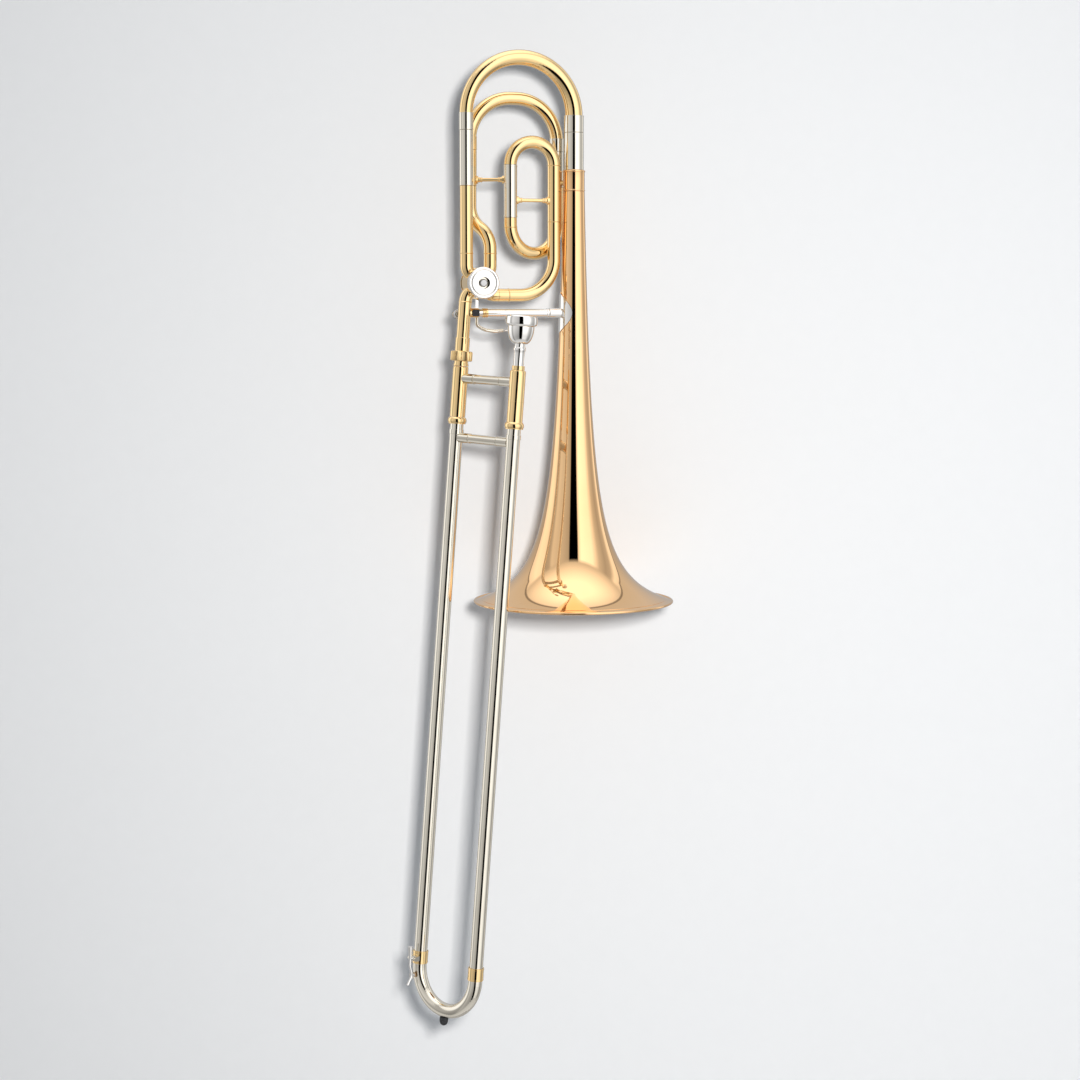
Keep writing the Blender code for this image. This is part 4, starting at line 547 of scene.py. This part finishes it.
def make_valve():
    turn(
        "valve_body",
        [(16.9, -22.2), (16.9, -17.2), (17.5, -17.2), (17.5, 16.0), (3.9, 16.0), (3.9, 12.0),
         (16.0, 12.0), (16.0, -22.2)],
        VALVE_FRAME, "yellow_brass", ROOT, ["valve_casing"], sides=96)
    turn("valve_body_rib", band(12.4, 14.6, 18.1, 17.0), VALVE_FRAME, "yellow_brass", ROOT,
         sides=96)
    low = -17.5
    face = low - 7.8
    turn(
        "valve_cover",
        [(18.6, low), (17.2, low), (17.2, face + 2.2), (6.9, face + 2.2), (6.9, face),
         (14.2, face), (14.9, face + 0.8), (15.7, face), (17.6, face), (18.6, face + 1.0)],
        VALVE_FRAME, "silver_plate", "cap", ["valve_cap"], sides=96, soften=0.2)
    turn("valve_cover_grip", band(low - 5.6, low - 4.9, 18.75, 18.2), VALVE_FRAME,
         "silver_plate", "cap", sides=96, soften=0.1)
    # The ports point out at 45 degrees, so an elbow's corner is as far above or below the
    # valve's centre as it is beside it.
    half = math.sqrt(0.5)
    for name, end, corner, side in (
            ("neck", at(0, 0, ELBOW_END), at(0, 0, VALVE_X), (-half, half)),
            ("f_return", at(RETURN_TUBE_X, 0, ELBOW_END), at(RETURN_TUBE_X, 0, VALVE_X),
             (half, half)),
            ("f_out", at(38, 0, OUT_TUBE_DROP), at(VALVE_X - OUT_TUBE_DROP, 0, OUT_TUBE_DROP),
             (half, -half)),
            ("gooseneck", NECK + SLIDE_AXIS * 22,
             NECK + SLIDE_AXIS * VALVE_X / (math.cos(LEAN) - math.sin(LEAN)), (-half, -half))):
        port = VALVE + (X * side[0] + Z * side[1]) * 15.0
        tube("elbow_" + name, [end, corner, port], [16.0], TUBE_RADIUS, WORLD, "yellow_brass",
             ROOT, ["knuckle_" + name], wall=1.0)
    for name, place, along in (
            ("neck", at(0, 0, ELBOW_END + 0.1), Z),
            ("f_return", at(RETURN_TUBE_X, 0, ELBOW_END + 0.1), Z),
            ("f_out", at(51, 0, OUT_TUBE_DROP), X),
            ("gooseneck", NECK + SLIDE_AXIS * 22.1, SLIDE_AXIS)):
        seam(name, place, along)


def make_lever():
    """Thumb lever: a hub on the post, an arm to the link and a rod that curves to the paddle."""
    pivot = axes(VALVE + Vector((-21.904, 0, -36.6)), Y, X)
    body = "lever"
    depth = 20.0
    low = depth - 1.5
    high = depth + 1.5
    turn("lever_hub", band(low, high, 4.2, 2.3), pivot, "yellow_brass", body, ["thumb_lever"],
         sides=40)
    foot = Vector((26.1, -4.6, depth))
    tube("lever_arm", [Vector((3.2, -0.6, depth)), foot], [], (2.2, 1.5), pivot,
         "silver_plate", body, wall=0, sides=24)
    turn("lever_foot", band(low, high, 2.9, 0.9),
         pivot @ Matrix.Translation((foot.x, foot.y, 0)), "silver_plate", body, sides=32)
    turn("lever_pin", rod([(1.0, 5.0)]),
         pivot @ Matrix.Translation((foot.x, foot.y, depth - 0.5)), "steel", body, sides=20,
         soften=0.15)
    curve = [Vector((x, y, depth)) for x, y in (
        (25.2, 12.5), (33.5, 18.3), (48, 20.3), (58, 19.3))]
    tube("lever_rod", [foot + Vector((0, 1.5, 0))] + curve, [5.0, 20.0, 30.0], 2.1, pivot,
         "nickel_silver", body, wall=0, sides=24)
    paddle = [(0, -0.9), (4.8, -0.9), (6.1, -0.6), (6.5, 0.1), (6.2, 0.7), (5.0, 0.7),
              (3.0, 0.4), (0, 0.3)]
    paddle_frame = axes(Vector((62, 19.2, depth)), Vector((-0.1, -1, 0)), X)
    oval = Matrix.Diagonal((24 / 13, 1, 1, 1))
    turn("lever_paddle", paddle, pivot @ paddle_frame @ oval, "silver_plate", body, sides=48,
         soften=0.2)


# F loop and its tuning slide

def make_f_tubing():
    loop_top = 139.2
    leg_low = 77.4
    bend = (OUT_TUBE_X - LOOP_LEG_X) / 2
    crown = loop_top + 0.3 + bend
    tube("f_out_run",
         [at(38.3, 0, OUT_TUBE_DROP), at(OUT_TUBE_X, 0, OUT_TUBE_DROP),
          at(OUT_TUBE_X, 0, loop_top)],
         [42.0], TUBE_RADIUS, WORLD, "yellow_brass", ROOT, ["f_out_tube"])
    tube("f_top_bow",
         [at(OUT_TUBE_X, 0, loop_top + 0.3), at(OUT_TUBE_X, 0, crown), at(LOOP_LEG_X, 0, crown),
          at(LOOP_LEG_X, 0, loop_top + 0.3)],
         [bend, bend], TUBE_RADIUS, WORLD, "yellow_brass", ROOT, ["f_loop_top_crook"])
    tube("f_straight_leg", [at(LOOP_LEG_X, 0, loop_top), at(LOOP_LEG_X, 0, leg_low)], [],
         LEG_RADIUS, WORLD, "nickel_silver", ROOT, ["f_loop_leg"])
    right = F_SLIDE_X + F_SLIDE_WIDTH
    sleeve_end = F_SLEEVE_LOW - 0.3
    bend = math.hypot(right - LOOP_LEG_X, F_SLIDE_BACK) / 2
    low = leg_low - 8.0 - bend
    tube("f_bottom_bow",
         [at(LOOP_LEG_X, 0, leg_low - 0.3), at(LOOP_LEG_X, 0, low), at(right, F_SLIDE_BACK, low),
          at(right, F_SLIDE_BACK, sleeve_end)],
         [bend, bend], TUBE_RADIUS, WORLD, "yellow_brass", ROOT, ["f_loop_bottom_crook"])
    swan_low = 40.0
    swan_high = 91.0
    rise = swan_high - swan_low
    swan_turn = 2 * math.atan2(math.hypot(RETURN_TUBE_X - F_SLIDE_X, F_SLIDE_BACK), rise)
    bend = rise / (2 * math.sin(swan_turn))
    half = bend * math.tan(swan_turn / 2)
    tube("f_swan_neck",
         [at(F_SLIDE_X, F_SLIDE_BACK, sleeve_end), at(F_SLIDE_X, F_SLIDE_BACK, swan_high - half),
          at(RETURN_TUBE_X, 0, swan_low + half), at(RETURN_TUBE_X, 0, ELBOW_END + 0.3)],
         [bend, bend], TUBE_RADIUS, WORLD, "yellow_brass", ROOT, ["f_return_tube"])
    for name, x, z in (
            ("loop_front", OUT_TUBE_X, loop_top + 0.1), ("out_middle", OUT_TUBE_X, 73),
            ("bottom_bow", LOOP_LEG_X, 66)):
        seam(name, at(x, 0, z), Z)
    for name, z in (("top", loop_top - 1.6), ("bottom", leg_low + 1.6)):
        turn("f_leg_ring_" + name, band(z - 0.6, z + 0.6, 8.35, 7.9),
             axes(at(LOOP_LEG_X, 0, 0), Z, X), "nickel_silver", ROOT, soften=0.12)


def make_f_slide():
    body = "f_tuning_slide"
    matrix = axes(at(F_SLIDE_X, F_SLIDE_BACK, 0), Z, X)
    width = F_SLIDE_WIDTH
    bend = 50.0
    ferrule = 15.4
    leg = 40.0
    low = F_SLEEVE_TOP + ferrule - 8.0 + 0.6
    top = 219.0
    corners = [Vector((x, 0, z)) for x, z in ((0, low), (0, top), (width, top), (width, low))]
    tube("f_slide_bow", corners, [bend, bend], TUBE_RADIUS, matrix, "yellow_brass", body,
         ["f_crook"])
    make_leg("f_inner_neck", "f_leg_neck", matrix, body, TUBE_RADIUS, SLEEVE_RADIUS,
             F_SLEEVE_TOP, ferrule, leg, "yellow_brass")
    make_leg("f_inner_bell", "f_leg_bell", matrix @ Matrix.Translation(X * width), body,
             TUBE_RADIUS, SLEEVE_RADIUS, F_SLEEVE_TOP, ferrule, leg)


# Braces

SEAT = 0.8
LEAF_HALF_ANGLE = 66.0
LEAF_HALF_HEIGHT = 24.5


def make_stay(name, start, end, start_radius, end_radius):
    """Thin turned stay between two upright tubes, with a flange and socket at each."""
    along = (end - start).normalized()
    first = start_radius * SEAT
    last = end_radius * SEAT
    flange = start_radius - first + 1.5
    end_flange = end_radius - last + 1.5
    steps = [(3.2, 2.6), (2.6, 0.8), (3.0, 1.6)]
    ends = first + last + flange + end_flange + 2 * sum(step for _, step in steps)
    length = (end - start).length - ends
    spans = [(4.8, flange), *steps, (2.2, length), *steps[::-1], (4.8, end_flange)]
    turn(name + "_turned", rod(spans), axes(start + along * first, along, Z), "yellow_brass",
         ROOT, [name], sides=32, soften=0.2)


def make_braces():
    upper, lower, stay = 122.0, 98.0, 120.0
    make_stay("loop_stay_upper", at(F_SLIDE_X, F_SLIDE_BACK, upper), at(LOOP_LEG_X, 0, upper),
              SLEEVE_RADIUS, LEG_RADIUS)
    make_stay("loop_stay_lower", at(LOOP_LEG_X, 0, lower), at(OUT_TUBE_X, 0, lower),
              LEG_RADIUS, TUBE_RADIUS)
    start = at(F_SLIDE_X + F_SLIDE_WIDTH, F_SLIDE_BACK, stay)
    end = at(-NECK.x, 0, stay)
    along = (end - start).normalized()
    length = (end - start).length - (SLEEVE_RADIUS + BELL_FERRULE_RADIUS) * SEAT
    turn("bell_stay_turned", rod([(3.2, length)]),
         axes(start + along * SLEEVE_RADIUS * SEAT, along, Z), "yellow_brass", ROOT,
         ["bell_stay"], sides=32)
    height = NECK.z - STRUT_DROP
    middle = height - RIM_HEIGHT - BEAD_RADIUS
    shape = bmesh.new()
    bmesh.ops.create_grid(shape, x_segments=48, y_segments=40, size=1.0)
    for vert in shape.verts:
        level = vert.co.y
        reach = math.cos(math.radians(90 * level))
        angle = math.radians(LEAF_HALF_ANGLE * max(reach, 0.03)) * vert.co.x
        radius = flare_radius(middle + LEAF_HALF_HEIGHT * level) + 0.15
        vert.co = (-radius * math.cos(angle), -radius * math.sin(angle),
                   height + LEAF_HALF_HEIGHT * level)
    bmesh.ops.recalc_face_normals(shape, faces=shape.faces)
    bmesh.ops.solidify(shape, geom=shape.faces[:], thickness=-0.9)
    settle("bell_flange_leaf", shape, WORLD, "silver_plate", ROOT, ["bell_brace_flange"])
    start = NECK - Z * STRUT_DROP - X * STRUT_DROP * math.tan(LEAN)
    first = TUBE_RADIUS * 0.7
    face_radius = flare_radius(middle) + 1.3
    last = face_radius * 0.9
    length = -start.x - first - last
    bell_socket = 13.0 + face_radius - last
    neck_socket = TUBE_RADIUS - first + 9.0
    rest = length - bell_socket - neck_socket - 3.0
    strut_frame = axes(start + X * first, X, Z)
    turn("bell_strut", rod([
        (5.0, neck_socket), (4.8, rest), (5.5, 2.0), (4.4, 1.0), (5.8, bell_socket)]),
        strut_frame, "silver_plate", ROOT, ["bell_brace"], soften=0.3)
    turn("strut_end", band(0.0, neck_socket, 5.6, 4.6), strut_frame, "yellow_brass", ROOT,
         soften=0.3)
    collar = neck_socket + 4.8
    turn("strut_collar", rod([(5.6, 1.6), (5.0, 0.8), (5.6, 1.2), (5.0, 0.8), (5.4, 2.2)]),
         strut_frame @ Matrix.Translation((0, 0, collar)), "yellow_brass", ROOT, soften=0.2)


# Gooseneck, hand slide and mouthpiece

def make_gooseneck():
    tube("gooseneck_run", [Vector((0, 0, 22.3)), Vector((0, 0, 74))], [], TUBE_RADIUS,
         GOOSENECK_FRAME, "yellow_brass", ROOT, ["gooseneck"])
    turn("receiver_socket",
         [(8.05, 64), (8.05, 86), (10.4, 86), (10.4, 83), (8.6, 83), (8.6, 65), (8.3, 64)],
         GOOSENECK_FRAME, "yellow_brass", ROOT, ["bell_receiver"])
    shape = bmesh.new()
    grip = [(11.4, 92), (12.4, 91.4), (12.8, 90.4), (12.8, 81.6), (12.4, 80.6), (11.4, 80)]
    sides = 120
    knurled_beyond = 12.3
    groove = Vector((0.975, 0.975, 1))
    spin_profile(shape, [(9.3, 80), (9.3, 82.7), (10.8, 82.7), (10.8, 92)] + grip, sides, 0.0)
    for vert in shape.verts:
        spot = round(math.atan2(vert.co.y, vert.co.x) / math.tau * sides)
        if math.hypot(vert.co.x, vert.co.y) > knurled_beyond and spot % 2:
            vert.co *= groove
    settle("lock_nut_knurled", shape, GOOSENECK_FRAME, "yellow_brass", "lock_nut",
           ["bell_lock_nut"], sharp=30)


def make_inner_slide():
    body = "inner_slide"
    turn("slide_socket",
         [(7.75, 74.3), (7.75, 87), (10.5, 87), (10.5, 90.6), (8.2, 91.6), (8.2, 93.4),
          (9.2, 97.0), (9.2, 97.7), (7.15, 97.7), (7.15, 74.3)],
         LEFT_LEG, "yellow_brass", body, ["slide_tenon"])
    turn("barrel_left_skin",
         [(7.75, 98), (7.75, 101), (8.35, 101), (8.35, 157.5), (BARREL_RADIUS, 157.5),
          (BARREL_RADIUS, 100.2), (8.9, 98.6), (8.3, 98)],
         LEFT_LEG, "yellow_brass", body, ["barrel_left"])
    bead = [(BARREL_RADIUS, 157.8), (10.2, 158.6), (11.0, 160.0), (11.3, 161.6),
            (11.2, 163.2), (10.7, 164.6), (10.3, 165.2), (10.5, 166.0)]
    turn("lock_ring_bead", [(8.35, 157.8)] + bead + [(8.35, 166.0)], LEFT_LEG, "yellow_brass",
         "lock_ring", ["slide_lock_ring"], soften=0.12)
    turn("barrel_right_skin",
         [(8.35, 166.0), (8.35, 101), (7.75, 101), (7.75, 98), (8.3, 98), (8.9, 98.6),
          (BARREL_RADIUS, 100.2)] + bead,
         RIGHT_LEG, "yellow_brass", body, ["barrel_right"], soften=0.12)
    turn("barrel_right_line", band(134.0, 134.8, 9.45, 9.0), RIGHT_LEG, "yellow_brass", body,
         soften=0.1)
    for side, matrix in (("left", LEFT_LEG), ("right", RIGHT_LEG)):
        tube("inner_slide_" + side, [Vector((0, 0, 98.3)), Vector((0, 0, 788))], [], 7.45,
             matrix, "nickel_silver", body, ["inner_tube_" + side], wall=0.35)
    turn("mouth_receiver",
         [(6.4, 92.7), (7.5, 92.7), (7.5, 97.7), (6.8, 97.7), (6.8, 287.7), (6.4, 287.7)],
         RIGHT_LEG, "yellow_brass", body, ["leadpipe"])
    make_slide_brace("inner_brace", 112.0, BARREL_RADIUS, body)


def make_slide_brace(node, place, tube_radius, body):
    """Cross brace between the slide's legs: a thin middle between two ringed sockets."""
    first = tube_radius * SEAT
    steps = [(5.5, 0.6), (5.9, 0.8)]
    ringed = tube_radius - first + 16.0
    socket = ringed - sum(step for _, step in steps)
    middle = SLIDE_SPACING - 2 * first - 2 * ringed
    profile = rod([(6.0, socket), *steps, (5.6, middle), *steps[::-1], (6.0, socket)])
    turn(node + "_turned", profile, LEFT_LEG @ axes(Vector((first, 0, place)), X, Z),
         "nickel_silver", body, [node], soften=0.2)


def make_outer_slide():
    body = "outer_slide"
    for side, matrix in (("left", LEFT_LEG), ("right", RIGHT_LEG)):
        tube("outer_slide_" + side, [Vector((0, 0, 106)), Vector((0, 0, 806))], [], LEG_RADIUS,
             matrix, "nickel_silver", body, ["outer_tube_" + side], wall=0.3)
        turn("outer_slide_top_" + side, band(172.6, 178.0, 8.75, 7.9), matrix, "nickel_silver",
             body)
        turn("crook_ring_" + side,
             [(8.35, 798), (9.3, 798), (9.3, 813), (8.7, 813), (8.7, 806.15), (8.35, 806.15)],
             matrix, "yellow_brass", body, ["crook_ferrule_" + side])
        for spot, place in enumerate((799.6, 811.4)):
            turn(f"crook_ring_line_{side}_{spot}", band(place - 0.5, place + 0.5, 9.55, 9.1),
                 matrix, "yellow_brass", body, soften=0.12)
    make_slide_brace("outer_brace", 182.0, LEG_RADIUS, body)
    bend = SLIDE_SPACING / 2
    high, low = 806.3, 860.0
    corners = [Vector((x, 0, z)) for x, z in (
        (0, high), (0, low), (SLIDE_SPACING, low), (SLIDE_SPACING, high))]
    tube("slide_bow", corners, [bend, bend], 8.4, LEFT_LEG, "nickel_silver", body,
         ["slide_crook"], wall=0.7)
    tip = [(0, 0), (5.0, 0), (5.2, 2.6), (5.0, 5.4), (4.2, 7.8), (2.6, 9.4), (1.0, 10.1),
           (0, 10.2)]
    turn("slide_tip", tip, LEFT_LEG @ Matrix.Translation((bend, 0, low + 8.2)), "black_rubber",
         body, ["slide_bumper"], sides=32, soften=0.2)


def make_mouthpiece():
    top = 35.0
    outside = [(16.2, top), (17.2, top + 0.3), (18.1, top + 1.2), (18.6, top + 2.8),
               (18.6, top + 8.4), (18.3, top + 9.9), (17.4, top + 11.0), (16.2, top + 11.6),
               (15.6, top + 12.2)]
    for spot in range(1, 17):
        angle = math.radians(90 * spot / 16)
        outside.append((
            5.8 + 9.8 * math.cos(angle) ** 0.9, top + 12.2 + 20.5 * math.sin(angle)))
    outside += [(5.9, top + 34.4), (6.6, top + 36.4), (7.25, top + 37.6), (7.25, top + 39.6),
                (6.6, top + 41.0), (6.2, top + 43.0), (6.05, top + 50.0), (6.0, 92.7),
                (5.6, 116.7)]
    inside = [(4.9, 116.7), (3.7, top + 35.0), (3.7, top + 29.0)]
    for spot in range(1, 13):
        angle = math.radians(90 * spot / 12)
        inside.append((3.7 + 10.3 * math.sin(angle), top + 29.0 - 27.0 * (1 - math.cos(angle))))
    inside += [(14.5, top + 0.9), (15.3, top + 0.15)]
    turn("mouthpiece_turned", outside + inside, RIGHT_LEG, "silver_plate", "mouthpiece_body",
         ["mouthpiece"], sides=96, soften=0)


KEPT_AND_SOFTENED = {
    "stop_arm", "stop_bumper_rest", "stop_bumper_pressed", "link_rod",
    "lever_post", "brace_bumper", "water_key", "water_key_cork", "water_key_saddle"}
SOFTENED_EDGE_M = 0.00035


def dress_cad():
    """Give the CAD nodes that stay in view the same finishes, with softened edges."""
    for name, node in frame["nodes"].items():
        for spot, material in enumerate(node.data.materials):
            node.data.materials[spot] = FINISHES[material.name.split(".")[0]]
        if node.type == "MESH" and name in KEPT_AND_SOFTENED:
            modifier = node.modifiers.new("softened", "BEVEL")
            modifier.width = SOFTENED_EDGE_M
            modifier.segments = 2
            modifier.limit_method = "ANGLE"
            modifier.angle_limit = math.radians(35)


# Setting

VIEW_TURN = math.radians(17.0)
WALL_BEHIND_M = 0.14
FLOOR_M = -1.26
BACKDROP_BEND_M = 0.06
BACKDROP_DEPTH_M = 6.0
BACKDROP_HEIGHT_M = 5.0
BACKDROP_HALF_WIDTH_M = 5.0
# From left to right in metres, and the paper's colour there. The rise to the right is painted
# light: the lamp's fall-off across the paper, painted into its colour.
PAPER_PAINTED_LIGHT = (-0.75, 0.75, 0.77, 0.93)

# The room that the metal shows. A band is an angle in degrees, rightward round from the camera,
# with its level. Each other row is a range and what its ends map to: a range of the direction's
# upward part, or for WALL_OUTLINE of the distance from the wall's edge.
ROOM_BANDS = [
    (-128, 1.0), (-112, 1.3), (-93, 1.2), (-86, 0.5), (-76, 0.55), (-68, 0.85), (-30, 0.62),
    (-16.5, 0.5), (-13.5, 0.0), (12, 0.0), (15, 1.2), (24, 1.7), (58, 1.5), (78, 0.7), (95, 0.5),
    (108, 0.6), (118, 1.2), (128, 1.0)]
LOWER_BANDS = (-0.5, 0.0, 0.6, 1.0)
CEILING_EDGE = (0.69, 0.74, 0.0, 1.0)
CEILING_LEVELS = (0.72, 0.96, 0.7, 1.7)
FLOOR_EDGE = (-0.8, -0.7, 1.0, 0.0)
FLOOR_LEVELS = (-1.0, -0.7, 0.75, 0.6)
WALL_SIDE_SLOPE = 1.28
WALL_TOP_SLOPE = 1.33
WALL_LEVELS = (0.1, 0.5, 0.48, 0.69)
WALL_OUTLINE = (0.015, 0.035, 0.7, 0.0)
WALL_OUTLINE_LEVEL = 0.12
FILL_COLOUR = (0.19, 0.215, 0.245, 1)
BACKGROUND_COLOUR = (0.86, 0.86, 0.87, 1)

LAMP_PLACE_M = Vector((-0.655, -2.51, 0.37))
LAMP_AIM_M = Vector((-0.05, 0, 0))
LAMP_SIDE_M = 0.19
LAMP_POWER = 56.5
LAMP_COLOUR = (1.0, 0.988, 0.972)

CAMERA_PLACE_M = (-0.8253, -2.4665, 0.2333)
CAMERA_DIP = 4.457
CAMERA_TURN = 17.613
SENSOR_WIDTH = 36.0
LENS = 72.16
LENS_SHIFT = -0.05


def make_backdrop():
    """Pale floor and wall in one sweep, as far behind as its shadow shows in the picture."""
    view = Vector((math.sin(VIEW_TURN), math.cos(VIEW_TURN), 0))
    side = Vector((math.cos(VIEW_TURN), -math.sin(VIEW_TURN), 0))
    shape = bmesh.new()
    bend = BACKDROP_BEND_M
    start = WALL_BEHIND_M - bend
    line = [(start - BACKDROP_DEPTH_M, FLOOR_M)]
    steps = 16
    for spot in range(steps + 1):
        angle = math.radians(90 * spot / steps)
        line.append((start + bend * math.sin(angle), FLOOR_M + bend - bend * math.cos(angle)))
    line.append((WALL_BEHIND_M, FLOOR_M + BACKDROP_HEIGHT_M))
    points = [
        shape.verts.new(view * reach + Z * height - side * BACKDROP_HALF_WIDTH_M)
        for reach, height in line]
    edges = [shape.edges.new(pair) for pair in zip(points, points[1:])]
    grown = bmesh.ops.extrude_edge_only(shape, edges=edges)["geom"]
    verts = [part for part in grown if isinstance(part, bmesh.types.BMVert)]
    bmesh.ops.translate(shape, vec=side * BACKDROP_HALF_WIDTH_M * 2, verts=verts)
    mesh = bpy.data.meshes.new("backdrop")
    shape.to_mesh(mesh)
    shape.free()
    mesh.shade_smooth()
    backdrop = bpy.data.objects.new("backdrop", mesh)
    bpy.context.scene.collection.objects.link(backdrop)
    material = bpy.data.materials.new("pale_paper")
    material.use_nodes = True
    mesh.materials.append(material)
    tree = material.node_tree
    shader = tree.nodes["Principled BSDF"]
    shader.inputs["Roughness"].default_value = 0.9
    shader.inputs["Specular IOR Level"].default_value = 0.1
    place = tree.nodes.new("ShaderNodeTexCoord").outputs["Object"]
    turned = tree.nodes.new("ShaderNodeMapping")
    turned.inputs["Rotation"].default_value = (0, 0, VIEW_TURN)
    tree.links.new(place, turned.inputs["Vector"])
    parts = tree.nodes.new("ShaderNodeSeparateXYZ")
    tree.links.new(turned.outputs["Vector"], parts.inputs["Vector"])
    paper = noise(tree, place, 60.0, 6.0)
    grain = spread_range(tree, paper, 0.3, 0.7, -0.004, 0.004)
    # Painted light: the paper's colour brightens from left to right in place of the lamp's
    # fall-off across it, with the paper's grain added on top.
    tone = spread_range(tree, parts.outputs["X"], *PAPER_PAINTED_LIGHT)
    tone = math_node(tree, "ADD", tone, grain)
    tree.links.new(tone, shader.inputs["Base Color"])
    facing = tree.nodes.new("ShaderNodeNewGeometry").outputs["Backfacing"]
    clear = tree.nodes.new("ShaderNodeBsdfTransparent")
    blend = tree.nodes.new("ShaderNodeMixShader")
    tree.links.new(facing, blend.inputs[0])
    tree.links.new(shader.outputs["BSDF"], blend.inputs[1])
    tree.links.new(clear.outputs["BSDF"], blend.inputs[2])
    tree.links.new(blend.outputs["Shader"], tree.nodes["Material Output"].inputs["Surface"])
    backdrop.visible_glossy = False


def make_world():
    """Studio seen in the metal: panels in upright bands, a bright ceiling and a wall behind."""
    world = bpy.data.worlds.new("studio")
    bpy.context.scene.world = world
    world.use_nodes = True
    tree = world.node_tree
    direction = tree.nodes.new("ShaderNodeTexCoord").outputs["Generated"]
    turned = tree.nodes.new("ShaderNodeMapping")
    turned.inputs["Rotation"].default_value = (0, 0, VIEW_TURN)
    tree.links.new(direction, turned.inputs["Vector"])
    parts = tree.nodes.new("ShaderNodeSeparateXYZ")
    tree.links.new(turned.outputs["Vector"], parts.inputs["Vector"])
    rightward, rearward, upward = (parts.outputs[axis] for axis in "XYZ")
    forward = math_node(tree, "MULTIPLY", rearward, -1.0)
    azimuth = math_node(tree, "ARCTAN2", rightward, forward)
    ramp = tree.nodes.new("ShaderNodeValToRGB")
    share = spread_range(tree, azimuth, -math.pi, math.pi, 0.0, 1.0)
    tree.links.new(share, ramp.inputs["Fac"])
    stops = ramp.color_ramp.elements
    for stop, degrees in zip(stops, (-180, 180)):
        stop.position = 0.5 + degrees / 360
        stop.color = (1, 1, 1, 1)
    for degrees, level in ROOM_BANDS:
        stop = stops.new(0.5 + degrees / 360)
        stop.color = (level, level, level, 1)
    lower_share = spread_range(tree, upward, *LOWER_BANDS)
    panels = tree.nodes.new("ShaderNodeVectorMath")
    panels.operation = "SCALE"
    tree.links.new(ramp.outputs["Color"], panels.inputs[0])
    tree.links.new(lower_share, panels.inputs["Scale"])
    overhead = spread_range(tree, upward, *CEILING_EDGE)
    ceiling = spread_range(tree, upward, *CEILING_LEVELS)
    room = mix_colours(tree, overhead, panels.outputs["Vector"], ceiling)
    underfoot = spread_range(tree, upward, *FLOOR_EDGE)
    floor = spread_range(tree, upward, *FLOOR_LEVELS)
    room = mix_colours(tree, underfoot, room, floor)
    beside = math_node(tree, "ABSOLUTE", rightward, 0.0)
    beside = math_node(tree, "DIVIDE", beside, WALL_SIDE_SLOPE)
    above = math_node(tree, "DIVIDE", upward, WALL_TOP_SLOPE)
    outside = math_node(tree, "MAXIMUM", beside, above)
    inset = math_node(tree, "SUBTRACT", rearward, outside)
    on_wall = spread_range(tree, inset, -0.01, 0.01, 0.0, 1.0)
    wall = spread_range(tree, upward, *WALL_LEVELS)
    room = mix_colours(tree, on_wall, room, wall)
    offset = math_node(tree, "ABSOLUTE", inset, 0.0)
    on_outline = spread_range(tree, offset, *WALL_OUTLINE)
    room = mix_colours(tree, on_outline, room, WALL_OUTLINE_LEVEL)
    seen = tree.nodes["Background"]
    tree.links.new(room, seen.inputs["Color"])
    fill = tree.nodes.new("ShaderNodeBackground")
    fill.inputs["Color"].default_value = FILL_COLOUR
    pale = tree.nodes.new("ShaderNodeBackground")
    pale.inputs["Color"].default_value = BACKGROUND_COLOUR
    rays = tree.nodes.new("ShaderNodeLightPath")
    shader = fill.outputs["Background"]
    for ray, choice in (("Is Glossy Ray", seen), ("Is Camera Ray", pale)):
        blend = tree.nodes.new("ShaderNodeMixShader")
        tree.links.new(rays.outputs[ray], blend.inputs[0])
        tree.links.new(shader, blend.inputs[1])
        tree.links.new(choice.outputs["Background"], blend.inputs[2])
        shader = blend.outputs["Shader"]
    tree.links.new(shader, tree.nodes["World Output"].inputs["Surface"])


def make_lamp():
    """Small lamp just above the camera and to its right. The metal doesn't show it."""
    light = bpy.data.lights.new("key", "AREA")
    light.shape = "SQUARE"
    light.size = LAMP_SIDE_M
    light.energy = LAMP_POWER
    light.color = LAMP_COLOUR
    lamp = bpy.data.objects.new("key", light)
    lamp.location = LAMP_PLACE_M
    lamp.rotation_euler = (LAMP_AIM_M - LAMP_PLACE_M).to_track_quat("-Z", "Y").to_euler()
    lamp.visible_glossy = False
    bpy.context.scene.collection.objects.link(lamp)


def make_camera():
    lens = bpy.data.cameras.new("view")
    lens.sensor_width = SENSOR_WIDTH
    lens.lens = LENS
    lens.shift_y = LENS_SHIFT
    lens.clip_start = 0.05
    lens.clip_end = 40.0
    camera = bpy.data.objects.new("view", lens)
    camera.location = CAMERA_PLACE_M
    camera.rotation_euler = (math.radians(90 - CAMERA_DIP), 0, -math.radians(CAMERA_TURN))
    bpy.context.scene.collection.objects.link(camera)
    bpy.context.scene.camera = camera


make_bell()
make_sleeves()
make_tuning_slide()
make_valve()
make_lever()
make_f_tubing()
make_f_slide()
make_braces()
make_gooseneck()
make_inner_slide()
make_outer_slide()
make_mouthpiece()
dress_cad()
make_backdrop()
make_world()
make_lamp()
make_camera()

bpy.context.scene.view_settings.view_transform = "Standard"
